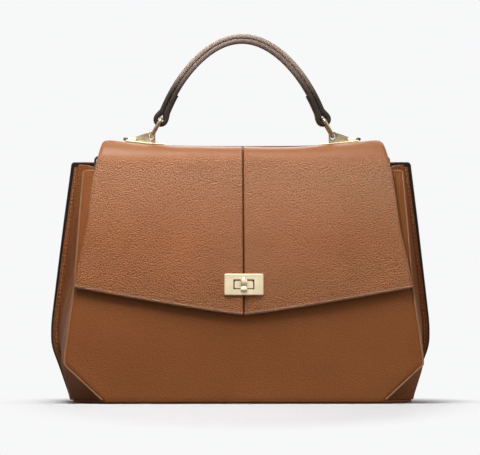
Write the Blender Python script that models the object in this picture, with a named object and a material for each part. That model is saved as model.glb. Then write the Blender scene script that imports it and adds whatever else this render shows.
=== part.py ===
"""Structured leather top-handle bag: a lined body with folded sides, a two-piece fold-over flap with a
turn lock, an arched handle on two wire rings, and a small ring on each side.

Metres, +Z up. The bag faces -Y, and the origin is the centre of the base's underside.
"""

import math

import bmesh
import bpy
import numpy as np

# Fits shared by all pieces
GAP = 0.0003
CUT_OVERRUN = 0.004

# Body: heights from the floor, half widths from the centre plane
FRONT_HEIGHT = 0.202
WING_HEIGHT = 0.2086
BACK_HEIGHT = 0.2197
BASE_DEPTH = 0.116
TOP_DEPTH = 0.060
FRONT_HALF_WIDTH = 0.156
BACK_HALF_WIDTH = 0.1663
NECK_HALF_WIDTH = 0.122
NECK_SLANT = 0.003
WING_CORNER = 0.002
PANEL_THICKNESS = 0.0025
FRONT_BULGE = 0.004
PANEL_CLEAR = 0.001

FRONT_HEIGHT_SHARES = (0.005, 0.165, 0.218, 0.5, 0.743, 1.0)
FRONT_WIDTH_SHARES = (0.776, 1.0, 0.994, 0.942, 0.919, 0.891)
WING_HEIGHT_SHARES = (0.005, 0.149, 0.23, 0.28, 0.336, 0.506, 0.75, 1.0)
WING_WIDTH_SHARES = (0.9, 0.962, 1.0, 1.003, 1.0, 0.974, 0.936, 0.894)

# Outlines are averaged over this share of their height, each way
EASE_SHARE = 0.03
EASE_STEPS = 8

# Folded sides: the crest is the inward fold
GUSSET_THICKNESS = 0.0018
GUSSET_FRONT_INSET = 0.003
GUSSET_BACK_INSET = 0.006
GUSSET_TOP = 0.2035
GUSSET_TOP_SLOPE = 0.0035
CREST_HALF_WIDTH = 0.158
CREST_HEIGHT_SHARES = (0.0, 0.165, 0.3, 0.5, 0.75, 1.0)
CREST_WIDTH_SHARES = (0.94, 1.0, 0.987, 0.93, 0.873, 0.7978)
CREST_FLAT_SHARE = 0.25

# Base and lining
BASE_THICKNESS = 0.0025
BASE_FRONT_HALF = 0.120
BASE_MIDDLE_HALF = 0.1475
BASE_BACK_HALF = 0.1445
BOARD_THICKNESS = 0.002
BOARD_FRONT_INSET = 0.008
LINING_THICKNESS = 0.001
LINING_INSET = 0.006
LINING_BELOW_GUSSET = 0.0035
LINING_CORNER_POWER = 0.35

# Flap: sizes across are half widths, the stack is counted outwards from the front panel's face
ROOF_SEAT_HEIGHT = 0.2167
ROOF_HALF_WIDTH = 0.122
ROOF_RISE = 0.007
ROOF_RISE_DEPTH = 0.022
ROOF_EDGE_DROP = 0.002
ROOF_EDGE_SHARE = 0.9
BEND_RADIUS = 0.012
FLAP_LINING_START = 0.002
FLAP_LINING_THICKNESS = 0.001
FLAP_THICKNESS = 0.0024
FLAP_CORNER_HEIGHT = 0.1003
FLAP_CORNER_HALF = 0.147
FLAP_TIP_HEIGHT = 0.0766
FLAP_EDGE_POWER = 1.15
FLAP_HEIGHT_SHARES = (0.456, 0.56, 0.683, 0.801, 0.901, 0.94)
FLAP_WIDTH_SHARES = (1.0, 0.97, 0.928, 0.905, 0.884, 0.866)
FLAP_LINING_TRIM = 0.003
HINGE_SETBACK = 0.0003

# Turn lock, centred on the flap's seam
LOCK_HEIGHT = 0.1017
LOCK_PLATE_WIDTH = 0.0339
LOCK_PLATE_HEIGHT = 0.0189
LOCK_PLATE_THICKNESS = 0.0015
LOCK_PLATE_BEVEL = 0.0008
SLOT_WIDTH = 0.017
SLOT_HEIGHT = 0.0076
SLOT_CORNER = 0.0015
SLOT_CLEAR = 0.0005
LOCK_BASE_WIDTH = 0.024
LOCK_BASE_HEIGHT = 0.0124
LOCK_BASE_THICKNESS = 0.0012
LOCK_FRAME_THICKNESS = 0.0008
LOCK_FRAME_CLEAR = 0.0006
LOCK_WASHER_THICKNESS = 0.001
BOSS_SINK = 0.0005
STEM_RADIUS = 0.0015
STEM_CLEAR = 0.0003
KNOB_WIDTH = 0.0055
KNOB_HEIGHT = 0.0126
KNOB_DEPTH = 0.0042
KNOB_CLEAR = 0.0004
KNOB_HEIGHT_SHARES = (-1.0, -0.9, -0.6, -0.46, -0.3, -0.15, 0.1, 0.4, 0.7, 0.9, 1.0)
KNOB_SWELL_SHARES = (0.84, 0.94, 0.94, 0.74, 0.58, 0.78, 0.96, 1.0, 0.86, 0.55, 0.2)
KNOB_SECTION_POWERS = (0.32, 0.32, 0.32, 0.6, 0.95, 1.0, 1.0, 1.0, 1.0, 1.0, 1.0)

# Handle: an arch in the XZ plane, its middle line between the outer strap and the inner strip
HANDLE_TOP = 0.317
HANDLE_SPRING_X = 0.0675
HANDLE_SPRING_Z = 0.2548
HANDLE_ROUND_SHARE = 0.904
HANDLE_WIDTH = 0.018
STRAP_THICKNESS = 0.004
STRAP_BEVEL = 0.0009
LOOP_INNER_RADIUS = 0.0025
LOOP_DROP = 0.009
LOOP_LEAN_DEG = 22.9
TAIL_END_X = 0.057

# Handle rings and their brackets on the flap's top
RING_WIRE_RADIUS = 0.0017
RING_HALF_WIDTH = 0.0122
RING_CORNER = 0.0026
PIVOT_X = 0.0792
PIVOT_Z = 0.2315
RING_SWING_DEG = 45.0
FIN_THICKNESS = 0.0012
FIN_TOP_ABOVE_PIVOT = 0.0043
FIN_INNER_X = 0.0757
FIN_TOP_OUTER_X = 0.0832
FIN_OUTER_X = 0.0935
FIN_OUTER_ABOVE_PLATE = 0.0030
EYE_CLEAR = 0.00022
EYE_FLARE_DEG = 63.0
BRACKET_PLATE_THICKNESS = 0.0014
BRACKET_PLATE_BEVEL = 0.0004
BRACKET_PLATE_DEPTH = 0.014
BRACKET_INNER_X = 0.067
BRACKET_OUTER_X = 0.1020
BRACKET_SINK = 0.0006
TONGUE_RADIUS = 0.0014
TONGUE_END_X = 0.1038
BACKING_THICKNESS = 0.001

# Side tabs and their rings
TAB_THICKNESS = 0.002
TAB_BEVEL = 0.0005
TAB_WIDTH = 0.012
TAB_LOOP_INNER_RADIUS = 0.0021
TAB_LOOP_ABOVE_GUSSET = 0.007
TAB_LEG_LENGTH = 0.018
SIDE_RING_WIRE_RADIUS = 0.0013
SIDE_RING_HALF_WIDTH = 0.0085
SIDE_RING_LENGTH = 0.015
SIDE_RING_CORNER = 0.002
SIDE_RING_LEAN_DEG = 28.0

# How finely each form is cut up: strips of a grid, sides of a round, steps of a bend
FRONT_ROWS = 12
FRONT_COLUMNS = 14
WING_ROWS = 24
GUSSET_ROWS = 10
GUSSET_COLUMNS = 8
LINING_SIDES = 28
LINING_HEIGHT_SHARES = (0.0, 0.07, 0.14, 0.3, 0.48, 0.75, 1.0)
ROOF_ROWS = 3
BEND_ROWS = 6
DROP_ROWS = 9
FLAP_COLUMNS = 9
CORNER_STEPS = 3
KNOB_SIDES = 16
TURNED_SIDES = 24
ARCH_STEPS = 16
LOOP_LEG_STEPS = 4
LOOP_TURN_STEPS = 10
TAIL_STEPS = 4
WIRE_SIDES = 10
RING_BOW_STEPS = 9
RING_CORNER_STEPS = 3
CROWN_STEPS = 8
BRACKET_PLATE_STEPS = 5
TAB_LEG_STEPS = 4

# Finishes: linear colour, roughness, metallic
TAN = ((0.30, 0.128, 0.055), 0.5, 0.0)
TAN_EDGE = ((0.035, 0.024, 0.019), 0.45, 0.0)
LINING_CLOTH = ((0.20, 0.13, 0.08), 0.85, 0.0)
BOARD_GREY = ((0.25, 0.23, 0.20), 0.9, 0.0)
PALE_GOLD = ((0.80, 0.66, 0.42), 0.25, 1.0)


def clear_scene():
    for old in list(bpy.data.objects):
        bpy.data.objects.remove(old, do_unlink=True)


def finish_material(name, finish):
    """A Principled material with this piece's colour, roughness and metallic value."""
    colour, roughness, metallic = finish
    material = bpy.data.materials.new(name + "_finish")
    material.use_nodes = True
    shader = material.node_tree.nodes["Principled BSDF"]
    shader.inputs["Base Color"].default_value = (*colour, 1.0)
    shader.inputs["Roughness"].default_value = roughness
    shader.inputs["Metallic"].default_value = metallic
    material.diffuse_color = (*colour, 1.0)
    return material


def add_pivot(name, place, parent=None):
    """An empty on a joint's axis, which the pieces that move about it are parented to."""
    pivot = bpy.data.objects.new(name, None)
    bpy.context.scene.collection.objects.link(pivot)
    pivot["place"] = list(place)
    pivot.parent = parent
    carried = parent["place"] if parent else (0.0, 0.0, 0.0)
    pivot.location = [own - other for own, other in zip(place, carried)]
    return pivot


def add_solid(name, points, faces, finish, pivot=None):
    """One closed mesh with its faces pointing out, given in world places and hung on its pivot."""
    origin = np.array(pivot["place"]) if pivot else np.zeros(3)
    mesh = bpy.data.meshes.new(name)
    mesh.from_pydata((np.asarray(points) - origin).tolist(), [], faces)
    work = bmesh.new()
    work.from_mesh(mesh)
    bmesh.ops.recalc_face_normals(work, faces=work.faces)
    work.to_mesh(mesh)
    work.free()
    mesh.shade_smooth()
    mesh.set_sharp_from_angle(angle=math.radians(35))
    mesh.materials.append(finish_material(name, finish))
    piece = bpy.data.objects.new(name, mesh)
    bpy.context.scene.collection.objects.link(piece)
    piece.parent = pivot
    return piece


def sheet_solid(name, outer, inner, finish, pivot=None):
    """Two matching grids of points, rows by columns, closed along their four borders."""
    rows, columns = outer.shape[:2]
    count = rows * columns
    faces = []
    for i in range(rows - 1):
        for j in range(columns - 1):
            a = i * columns + j
            quad = (a, a + 1, a + 1 + columns, a + columns)
            faces.append(quad)
            faces.append(tuple(count + k for k in reversed(quad)))
    border = [j for j in range(columns)]
    border += [i * columns + columns - 1 for i in range(1, rows)]
    border += [(rows - 1) * columns + j for j in range(columns - 2, -1, -1)]
    border += [i * columns for i in range(rows - 2, 0, -1)]
    for a, b in zip(border, border[1:] + border[:1]):
        faces.append((b, a, count + a, count + b))
    points = np.concatenate([outer.reshape(-1, 3), inner.reshape(-1, 3)])
    return add_solid(name, points, faces, finish, pivot)


def ring_solid(name, rings, finish, pivot=None, endless=False):
    """A skin over matching rings of points: capped at both ends, or joined end to end."""
    total, size = rings.shape[:2]
    faces = []
    for i in range(total if endless else total - 1):
        low, high = i * size, (i + 1) % total * size
        for j in range(size):
            k = (j + 1) % size
            faces.append((low + j, low + k, high + k, high + j))
    if not endless:
        faces.append(tuple(range(size)))
        faces.append(tuple((total - 1) * size + j for j in reversed(range(size))))
    return add_solid(name, rings.reshape(-1, 3), faces, finish, pivot)


def hide_tool(tool):
    tool.hide_render = True
    tool.display_type = "WIRE"


def combine(piece, tool, operation):
    """Cuts the tool from the piece, or joins it on, and leaves the tool as a hidden guide."""
    change = piece.modifiers.new(tool.name, "BOOLEAN")
    change.operation = operation
    change.object = tool
    change.solver = "EXACT"
    hide_tool(tool)


def along_profile(first, count, last):
    """Evenly spaced values over a count of strips, both ends kept."""
    return np.linspace(first, last, count + 1)


# Where the body's surfaces lie


def front_lean(z):
    """Depth of the front panel's outer face at its side edges, a plane that leans back."""
    return BASE_DEPTH / 2 - (BASE_DEPTH - TOP_DEPTH) / 2 * z / FRONT_HEIGHT


def front_y(x, z):
    """Front panel's outer face: the leaning plane with a soft bulge that dies out at its edges."""
    across = np.clip(1 - (x / FRONT_HALF_WIDTH) ** 2, 0, 1)
    upward = np.sin(np.pi * np.clip(z / FRONT_HEIGHT, 0, 1)) ** 2
    return -(front_lean(z) + FRONT_BULGE * across * upward)


def back_y(z):
    """Back panel's outer face, a plane that leans forward."""
    return BASE_DEPTH / 2 - (BASE_DEPTH - TOP_DEPTH) / 2 * z / BACK_HEIGHT


def eased(share, at_shares, width_shares):
    """A measured outline, averaged over a short stretch of its height so that it runs as one curve."""
    spots = np.asarray(share)[..., None] + EASE_SHARE * along_profile(-1, EASE_STEPS, 1)
    return np.interp(spots, at_shares, width_shares).mean(axis=-1)


def front_half_width(z):
    return FRONT_HALF_WIDTH * np.interp(z / FRONT_HEIGHT, FRONT_HEIGHT_SHARES, FRONT_WIDTH_SHARES)


def wing_half_width(z):
    return BACK_HALF_WIDTH * eased(z / WING_HEIGHT, WING_HEIGHT_SHARES, WING_WIDTH_SHARES)


def crest_half_width(z):
    return CREST_HALF_WIDTH * np.interp(z / GUSSET_TOP, CREST_HEIGHT_SHARES, CREST_WIDTH_SHARES)


def flap_half_width(z):
    return FLAP_CORNER_HALF * eased(z / BACK_HEIGHT, FLAP_HEIGHT_SHARES, FLAP_WIDTH_SHARES)


LEAN_SLOPE = (BASE_DEPTH - TOP_DEPTH) / 2 / FRONT_HEIGHT
LEAN_ANGLE = math.atan(LEAN_SLOPE)
HINGE_Y = TOP_DEPTH / 2 + HINGE_SETBACK
ROOF_CREASE_Y = HINGE_Y - ROOF_RISE_DEPTH
BEND_Z = ROOF_SEAT_HEIGHT - BEND_RADIUS
BEND_START_Z = BEND_Z + BEND_RADIUS * math.sin(LEAN_ANGLE)
BEND_Y = -front_lean(BEND_START_Z) + BEND_RADIUS * math.cos(LEAN_ANGLE)
FLAP_START = FLAP_LINING_START + FLAP_LINING_THICKNESS + GAP
FLAP_FACE = FLAP_START + FLAP_THICKNESS
PLATE_END = FLAP_FACE + GAP + LOCK_PLATE_THICKNESS
BOSS_END = PLATE_END - BOSS_SINK


def roof_rise(x):
    """How far the flap's top climbs towards its corners, with its very edge rounded down again."""
    share = np.abs(x) / ROOF_HALF_WIDTH
    past = np.clip((share - ROOF_EDGE_SHARE) / (1 - ROOF_EDGE_SHARE), 0, None)
    return ROOF_RISE * share**3 - ROOF_EDGE_DROP * past**2


def roof_z(x, y, out):
    """Height of the flap's top at a depth, out from the flap's seat."""
    return ROOF_SEAT_HEIGHT + out + roof_rise(x) * np.clip((HINGE_Y - y) / ROOF_RISE_DEPTH, 0, 1)


def flap_surface(shares, out, rear_y, trim):
    """Grid of the flap at one depth of its stack: roof, front bend, then the drop down to its V edge.

    shares run across the flap, from -1 at its left edge to 1 at its right edge.
    """
    rows = []
    width = ROOF_HALF_WIDTH - trim
    x = shares * width
    roof_y = np.concatenate([
        along_profile(rear_y, ROOF_ROWS, ROOF_CREASE_Y)[:-1],
        along_profile(ROOF_CREASE_Y, ROOF_ROWS, BEND_Y),
    ])
    for y in roof_y:
        rows.append(np.stack([x, np.full_like(x, y), roof_z(x, y, out)], axis=-1))
    radius = BEND_RADIUS + out
    start_z = BEND_Z + radius * math.sin(LEAN_ANGLE)
    start_width = flap_half_width(start_z) - trim
    for step in along_profile(0, BEND_ROWS, 1)[1:]:
        angle = math.pi / 2 + step * (LEAN_ANGLE - math.pi / 2)
        x = shares * (width + (start_width - width) * step)
        z = BEND_Z + radius * math.sin(angle) + roof_rise(x) * (1 - step) ** 2
        rows.append(np.stack([x, np.full_like(x, BEND_Y - radius * math.cos(angle)), z], axis=-1))
    corner_share = np.abs(shares * (FLAP_CORNER_HALF - trim)) / FLAP_CORNER_HALF
    climb = (FLAP_CORNER_HEIGHT - FLAP_TIP_HEIGHT) * corner_share**FLAP_EDGE_POWER
    edge_z = FLAP_TIP_HEIGHT + trim + climb
    for step in along_profile(0, DROP_ROWS, 1)[1:]:
        z = start_z + (edge_z - start_z) * step
        x = shares * (flap_half_width(z) - trim)
        rows.append(np.stack([x, front_y(x, z) - out / math.cos(LEAN_ANGLE), z], axis=-1))
    return np.stack(rows)


# The body's panels


def make_front_panel():
    heights = along_profile(PANEL_CLEAR, FRONT_ROWS, FRONT_HEIGHT)[:, None]
    across = along_profile(-1, FRONT_COLUMNS, 1)[None, :]
    x = across * front_half_width(heights)
    z = heights + 0 * x
    outer = np.stack([x, front_y(x, z), z], axis=-1)
    inner = outer + np.array([0, PANEL_THICKNESS, 0])
    sheet_solid("front_panel", outer, inner, TAN)


def make_back_panel():
    """The back panel with its two stiff wings, cut from one outline and leaning as a plane."""
    wing_z = along_profile(PANEL_CLEAR, WING_ROWS, WING_HEIGHT - WING_CORNER)
    right = list(zip(wing_half_width(wing_z), wing_z))
    corner_x = float(wing_half_width(WING_HEIGHT)) - WING_CORNER
    right += [
        (corner_x + WING_CORNER * math.cos(a), WING_HEIGHT - WING_CORNER * (1 - math.sin(a)))
        for a in along_profile(0, CORNER_STEPS, math.pi / 2)[1:]
    ]
    right += [(NECK_HALF_WIDTH + NECK_SLANT, WING_HEIGHT), (NECK_HALF_WIDTH, BACK_HEIGHT)]
    outline = right + [(-x, z) for x, z in reversed(right)]
    rings = [
        [(x, back_y(z) - inwards, z) for x, z in outline] for inwards in (0, PANEL_THICKNESS)
    ]
    ring_solid("back_panel", np.array(rings), TAN)


def make_gusset(name, side):
    """A side folded inwards along its crest, between the front and back panels."""
    across = along_profile(-1, GUSSET_COLUMNS, 1)[None, :]
    low = BASE_THICKNESS + GAP
    upward = along_profile(0, GUSSET_ROWS, 1)[:, None]
    z = low + upward * (GUSSET_TOP + GUSSET_TOP_SLOPE * across - low)
    front_x = front_half_width(z) - GUSSET_FRONT_INSET
    back_x = wing_half_width(z) - GUSSET_BACK_INSET
    edge_x = np.where(across < 0, front_x, back_x)
    spread = np.clip((np.abs(across) - CREST_FLAT_SHARE) / (1 - CREST_FLAT_SHARE), 0, 1)
    x = crest_half_width(z) + (edge_x - crest_half_width(z)) * spread
    y_front = front_y(x, z) + PANEL_THICKNESS + GAP
    y_back = back_y(z) - PANEL_THICKNESS - GAP
    y = y_front + (y_back - y_front) * (across + 1) / 2
    outer = np.stack([side * x, y, z], axis=-1)
    inner = outer - np.array([side * GUSSET_THICKNESS, 0, 0])
    sheet_solid(name, outer, inner, TAN)


def make_base():
    inset = PANEL_THICKNESS + GAP
    front = -front_lean(0) + inset
    back = back_y(0) - inset - LEAN_SLOPE * BASE_THICKNESS
    middle = back * CREST_FLAT_SHARE
    right = [
        (BASE_FRONT_HALF, front + LEAN_SLOPE * BASE_THICKNESS),
        (BASE_MIDDLE_HALF, -middle),
        (BASE_MIDDLE_HALF, middle),
        (BASE_BACK_HALF, back),
    ]
    outline = right + [(-x, y) for x, y in reversed(right)]
    rings = [[(x, y, z) for x, y in outline] for z in (0, BASE_THICKNESS)]
    ring_solid("base_panel", np.array(rings), TAN)
    low = BASE_THICKNESS + GAP
    half_width = BASE_FRONT_HALF - BOARD_FRONT_INSET
    half_depth = BASE_DEPTH / 2 - BOARD_FRONT_INSET
    corners = [
        (-half_width, -half_depth), (half_width, -half_depth),
        (half_width, half_depth), (-half_width, half_depth),
    ]
    rings = [[(x, y, z) for x, y in corners] for z in (low, low + BOARD_THICKNESS)]
    ring_solid("base_board", np.array(rings), BOARD_GREY)


def lining_ring(z, inwards, height):
    """Plan of the lining at one height: a rectangle with well rounded corners."""
    turn = along_profile(0, LINING_SIDES, 2 * math.pi)[:-1]
    cosine, sine = np.cos(turn), np.sin(turn)
    half_width = min(front_half_width(z), crest_half_width(z)) - LINING_INSET - inwards
    front = -front_lean(z) + LINING_INSET + inwards
    back = back_y(z) - LINING_INSET - inwards
    x = half_width * np.sign(cosine) * np.abs(cosine) ** LINING_CORNER_POWER
    y = np.sign(sine) * np.abs(sine) ** LINING_CORNER_POWER * (back - front) / 2
    return np.stack([x, y + (front + back) / 2, np.full_like(x, height)], axis=-1)


def make_lining():
    """An open-topped cloth bag that stands on the base board."""
    floor = BASE_THICKNESS + BOARD_THICKNESS + 2 * GAP
    top = GUSSET_TOP - LINING_BELOW_GUSSET
    heights = [floor + (top - floor) * share for share in LINING_HEIGHT_SHARES]
    inner = [lining_ring(z, LINING_THICKNESS, z) for z in heights]
    inner[0] = lining_ring(floor, LINING_THICKNESS, floor + LINING_THICKNESS)
    outer = [lining_ring(z, 0, z) for z in reversed(heights)]
    ring_solid("lining", np.array(inner + outer), LINING_CLOTH)


# Ribbons, tubes and the lock's own space


def ribbon_solid(name, path, width, thickness, bevel, finish, pivot=None):
    """A flat strap on edge: its path lies in the XZ plane and its width runs along Y.

    Each section is a rectangle with its four corners cut off by the bevel.
    """
    run = np.gradient(path, axis=0)
    run /= np.linalg.norm(run, axis=1)[:, None]
    side = np.stack([-run[:, 1], run[:, 0]], axis=-1)
    half, edge = thickness / 2, width / 2
    section = [
        (half, edge - bevel), (half - bevel, edge), (bevel - half, edge), (-half, edge - bevel),
        (-half, bevel - edge), (bevel - half, -edge), (half - bevel, -edge), (half, bevel - edge),
    ]
    rings = []
    for (x, z), (nx, nz) in zip(path, side):
        rings.append([(x + nx * out, y, z + nz * out) for out, y in section])
    return ring_solid(name, np.array(rings), finish, pivot)


def wire_solid(name, path, radius, finish, pivot=None):
    """A round wire bent into a closed ring that lies in one plane."""
    run = np.roll(path, -1, axis=0) - np.roll(path, 1, axis=0)
    run /= np.linalg.norm(run, axis=1)[:, None]
    flat = np.cross(path[0] - path.mean(axis=0), path[len(path) // 4] - path.mean(axis=0))
    flat /= np.linalg.norm(flat)
    side = np.cross(run, flat)
    turn = along_profile(0, WIRE_SIDES, 2 * math.pi)[:-1]
    rings = [
        point + radius * (np.cos(turn)[:, None] * out + np.sin(turn)[:, None] * flat)
        for point, out in zip(path, side)
    ]
    return ring_solid(name, np.array(rings), finish, pivot, endless=True)


def ring_path(middle, down, half_width, length, corner):
    """A D: its straight bar runs along Y through the middle, and its bow hangs along down."""
    right = []
    for a in along_profile(0, RING_CORNER_STEPS, math.pi / 2)[:-1]:
        right.append((half_width - corner + corner * math.sin(a), corner - corner * math.cos(a)))
    for a in along_profile(0, RING_BOW_STEPS, math.pi / 2):
        right.append((half_width * math.cos(a), corner + (length - corner) * math.sin(a)))
    left = [(-across, drop) for across, drop in reversed(right[:-1])]
    return np.array([
        middle + np.array([0, across, 0]) + drop * down for across, drop in right + left
    ])


LOCK_CENTRE = np.array([0.0, float(front_y(0.0, LOCK_HEIGHT)), LOCK_HEIGHT])
LOCK_OUT = np.array([0.0, -math.cos(LEAN_ANGLE), math.sin(LEAN_ANGLE)])
LOCK_UP = np.array([0.0, math.sin(LEAN_ANGLE), math.cos(LEAN_ANGLE)])
LOCK_ACROSS = np.array([1.0, 0.0, 0.0])


def lock_place(across, up, out):
    """A place by the lock, measured along the front panel's face and out from it."""
    return LOCK_CENTRE + across * LOCK_ACROSS + up * LOCK_UP + out * LOCK_OUT


def rounded_oblong(width, height, corner):
    """Outline of a rectangle with round corners, counter-clockwise."""
    outline = []
    for quarter in range(4):
        sign_x = 1 if quarter in (0, 3) else -1
        sign_y = 1 if quarter < 2 else -1
        for a in along_profile(0, CORNER_STEPS, math.pi / 2):
            turn = a + quarter * math.pi / 2
            outline.append((
                sign_x * (width / 2 - corner) + corner * math.cos(turn),
                sign_y * (height / 2 - corner) + corner * math.sin(turn),
            ))
    return outline


def lock_block(name, width, height, corner, start, end, finish, pivot=None, bevel=0.0):
    """An oblong block that stands out from the front panel, from start to end, with a bevelled face."""
    levels = [(start, 0.0), (end, 0.0)]
    if bevel:
        levels = [(start, 0.0), (end - bevel, 0.0), (end, bevel)]
    rings = []
    for out, inwards in levels:
        outline = rounded_oblong(width - 2 * inwards, height - 2 * inwards, corner)
        rings.append([lock_place(across, up, out) for across, up in outline])
    return ring_solid(name, np.array(rings), finish, pivot)


def lock_turning(name, profile, finish, pivot=None):
    """A round piece turned about the knob's axis from (radius, out) pairs."""
    turn = along_profile(0, TURNED_SIDES, 2 * math.pi)[:-1]
    rings = [
        [lock_place(radius * math.cos(a), radius * math.sin(a), out) for a in turn]
        for radius, out in profile
    ]
    return ring_solid(name, np.array(rings), finish, pivot)


# The flap and its turn lock


def make_flap(pivot):
    """Two leather halves that meet at the centre seam, over one lining."""
    spread = np.sin(along_profile(0, FLAP_COLUMNS, math.pi / 2))
    seam_share = GAP / 2 / ROOF_HALF_WIDTH
    shares = seam_share + (1 - seam_share) * spread
    rear = TOP_DEPTH / 2
    pieces = []
    for name, side in (("flap_left", -1), ("flap_right", 1)):
        outer = flap_surface(side * shares, FLAP_FACE, rear, 0)
        inner = flap_surface(side * shares, FLAP_START, rear, 0)
        pieces.append(sheet_solid(name, outer, inner, TAN, pivot))
    whole = np.concatenate([-spread[:0:-1], spread])
    rear -= PANEL_THICKNESS + 2 * GAP
    out = FLAP_LINING_START + FLAP_LINING_THICKNESS
    outer = flap_surface(whole, out, rear, FLAP_LINING_TRIM)
    inner = flap_surface(whole, FLAP_LINING_START, rear, FLAP_LINING_TRIM)
    pieces.append(sheet_solid("flap_lining", outer, inner, LINING_CLOTH, pivot))
    for piece in pieces:
        opening = lock_block(
            piece.name + "_slot_tool", SLOT_WIDTH, SLOT_HEIGHT, SLOT_CORNER,
            FLAP_LINING_START - CUT_OVERRUN, FLAP_FACE + CUT_OVERRUN, TAN,
        )
        combine(piece, opening, "DIFFERENCE")


def make_lock_plates(pivot):
    """The bezel on the flap's face and the frame behind its lining, which clamp the slot's edge."""
    start = FLAP_FACE + GAP
    plate = lock_block(
        "lock_plate", LOCK_PLATE_WIDTH, LOCK_PLATE_HEIGHT, SLOT_CORNER, start,
        start + LOCK_PLATE_THICKNESS, PALE_GOLD, pivot, LOCK_PLATE_BEVEL,
    )
    slot = lock_block(
        "lock_plate_tool", SLOT_WIDTH, SLOT_HEIGHT, SLOT_CORNER, start - CUT_OVERRUN,
        start + CUT_OVERRUN, PALE_GOLD,
    )
    combine(plate, slot, "DIFFERENCE")
    end = FLAP_LINING_START - GAP
    frame = lock_block(
        "lock_back_frame", LOCK_PLATE_WIDTH, LOCK_PLATE_HEIGHT, SLOT_CORNER,
        end - LOCK_FRAME_THICKNESS, end, PALE_GOLD, pivot,
    )
    window = lock_block(
        "lock_back_frame_tool", LOCK_BASE_WIDTH + 2 * LOCK_FRAME_CLEAR,
        LOCK_BASE_HEIGHT + 2 * LOCK_FRAME_CLEAR, SLOT_CORNER, end - CUT_OVERRUN,
        end + CUT_OVERRUN, PALE_GOLD,
    )
    combine(frame, window, "DIFFERENCE")


def make_lock_base():
    """The plate on the front panel, whose oblong boss fills the flap's slot and carries the knob."""
    plate_face = GAP + LOCK_BASE_THICKNESS
    base = lock_block(
        "lock_base", LOCK_BASE_WIDTH, LOCK_BASE_HEIGHT, SLOT_CORNER, GAP, plate_face, PALE_GOLD
    )
    boss = lock_block(
        "lock_boss_tool", SLOT_WIDTH - 2 * SLOT_CLEAR, SLOT_HEIGHT - 2 * SLOT_CLEAR,
        SLOT_CORNER - SLOT_CLEAR, GAP + LOCK_BASE_THICKNESS / 2, BOSS_END, PALE_GOLD,
    )
    combine(base, boss, "UNION")
    radius = STEM_RADIUS + STEM_CLEAR
    bore = lock_turning(
        "lock_bore_tool", [(radius, plate_face), (radius, BOSS_END + CUT_OVERRUN)], PALE_GOLD
    )
    combine(base, bore, "DIFFERENCE")
    end = -(PANEL_THICKNESS + GAP)
    lock_block(
        "lock_washer", LOCK_BASE_WIDTH, LOCK_BASE_HEIGHT, SLOT_CORNER,
        end - LOCK_WASHER_THICKNESS, end, PALE_GOLD,
    )


def make_turn_knob(pivot):
    """A grip with a squared lower end, a narrow waist and a round upper end, on a stem in the boss.

    Each section is a circle whose cosine and sine are raised to a power: 1 is round, less is squarer.
    """
    middle = PLATE_END + KNOB_CLEAR + KNOB_DEPTH / 2
    turn = along_profile(0, KNOB_SIDES, 2 * math.pi)[:-1]
    cosine, sine = np.cos(turn), np.sin(turn)
    rings = []
    for height, swell, power in zip(KNOB_HEIGHT_SHARES, KNOB_SWELL_SHARES, KNOB_SECTION_POWERS):
        across = KNOB_WIDTH / 2 * swell * np.sign(cosine) * np.abs(cosine) ** power
        out = middle + KNOB_DEPTH / 2 * swell * np.sign(sine) * np.abs(sine) ** power
        rings.append([
            lock_place(place, KNOB_HEIGHT / 2 * height, depth) for place, depth in zip(across, out)
        ])
    knob = ring_solid("turn_knob", np.array(rings), PALE_GOLD, pivot)
    start = GAP + LOCK_BASE_THICKNESS + STEM_CLEAR
    stem = lock_turning(
        "knob_stem_tool", [(STEM_RADIUS, start), (STEM_RADIUS, middle)], PALE_GOLD
    )
    combine(knob, stem, "UNION")


# The handle


def arch_point(x, out):
    """A place on the handle's arch, out from its middle line in the XZ plane."""
    share = x / HANDLE_SPRING_X
    fall = HANDLE_TOP - HANDLE_SPRING_Z
    rest = 1 - HANDLE_ROUND_SHARE
    z = HANDLE_TOP - fall * (HANDLE_ROUND_SHARE * share**2 + rest * share**8)
    slope = -fall / HANDLE_SPRING_X * (2 * HANDLE_ROUND_SHARE * share + 8 * rest * share**7)
    steep = np.hypot(slope, 1)
    return np.stack([x - out * slope / steep, z + out / steep], axis=-1)


LOOP_LEAN = math.radians(LOOP_LEAN_DEG)
LOOP_DOWN = np.array([math.sin(LOOP_LEAN), -math.cos(LOOP_LEAN)])
LOOP_OUT = np.array([math.cos(LOOP_LEAN), math.sin(LOOP_LEAN)])
LOOP_CENTRE = np.array([HANDLE_SPRING_X, HANDLE_SPRING_Z]) + LOOP_DROP * LOOP_DOWN
INNER_OUT = -(STRAP_THICKNESS / 2 + GAP)


def handle_half_path():
    """The outer strap's middle line from the arch's top: down, round the ring's bar, and back up."""
    spring = np.array([HANDLE_SPRING_X, HANDLE_SPRING_Z])
    radius = LOOP_INNER_RADIUS + STRAP_THICKNESS / 2
    share = along_profile(0, LOOP_LEG_STEPS, 1)
    ease = (share**2 * (3 - 2 * share))[:, None]
    outer_leg = STRAP_THICKNESS / 2 + (radius - STRAP_THICKNESS / 2) * ease
    inner_leg = INNER_OUT + (-radius - INNER_OUT) * ease
    down = spring + share[:, None] * LOOP_DROP * LOOP_DOWN
    turn = along_profile(0, LOOP_TURN_STEPS, math.pi)[:, None]
    bend = LOOP_CENTRE + radius * (np.cos(turn) * LOOP_OUT + np.sin(turn) * LOOP_DOWN)
    return np.concatenate([
        arch_point(along_profile(0, ARCH_STEPS, HANDLE_SPRING_X), STRAP_THICKNESS / 2),
        (down + outer_leg * LOOP_OUT)[1:],
        bend[1:],
        (down + inner_leg * LOOP_OUT)[-2::-1],
        arch_point(along_profile(HANDLE_SPRING_X, TAIL_STEPS, TAIL_END_X), INNER_OUT)[1:],
    ])


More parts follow.
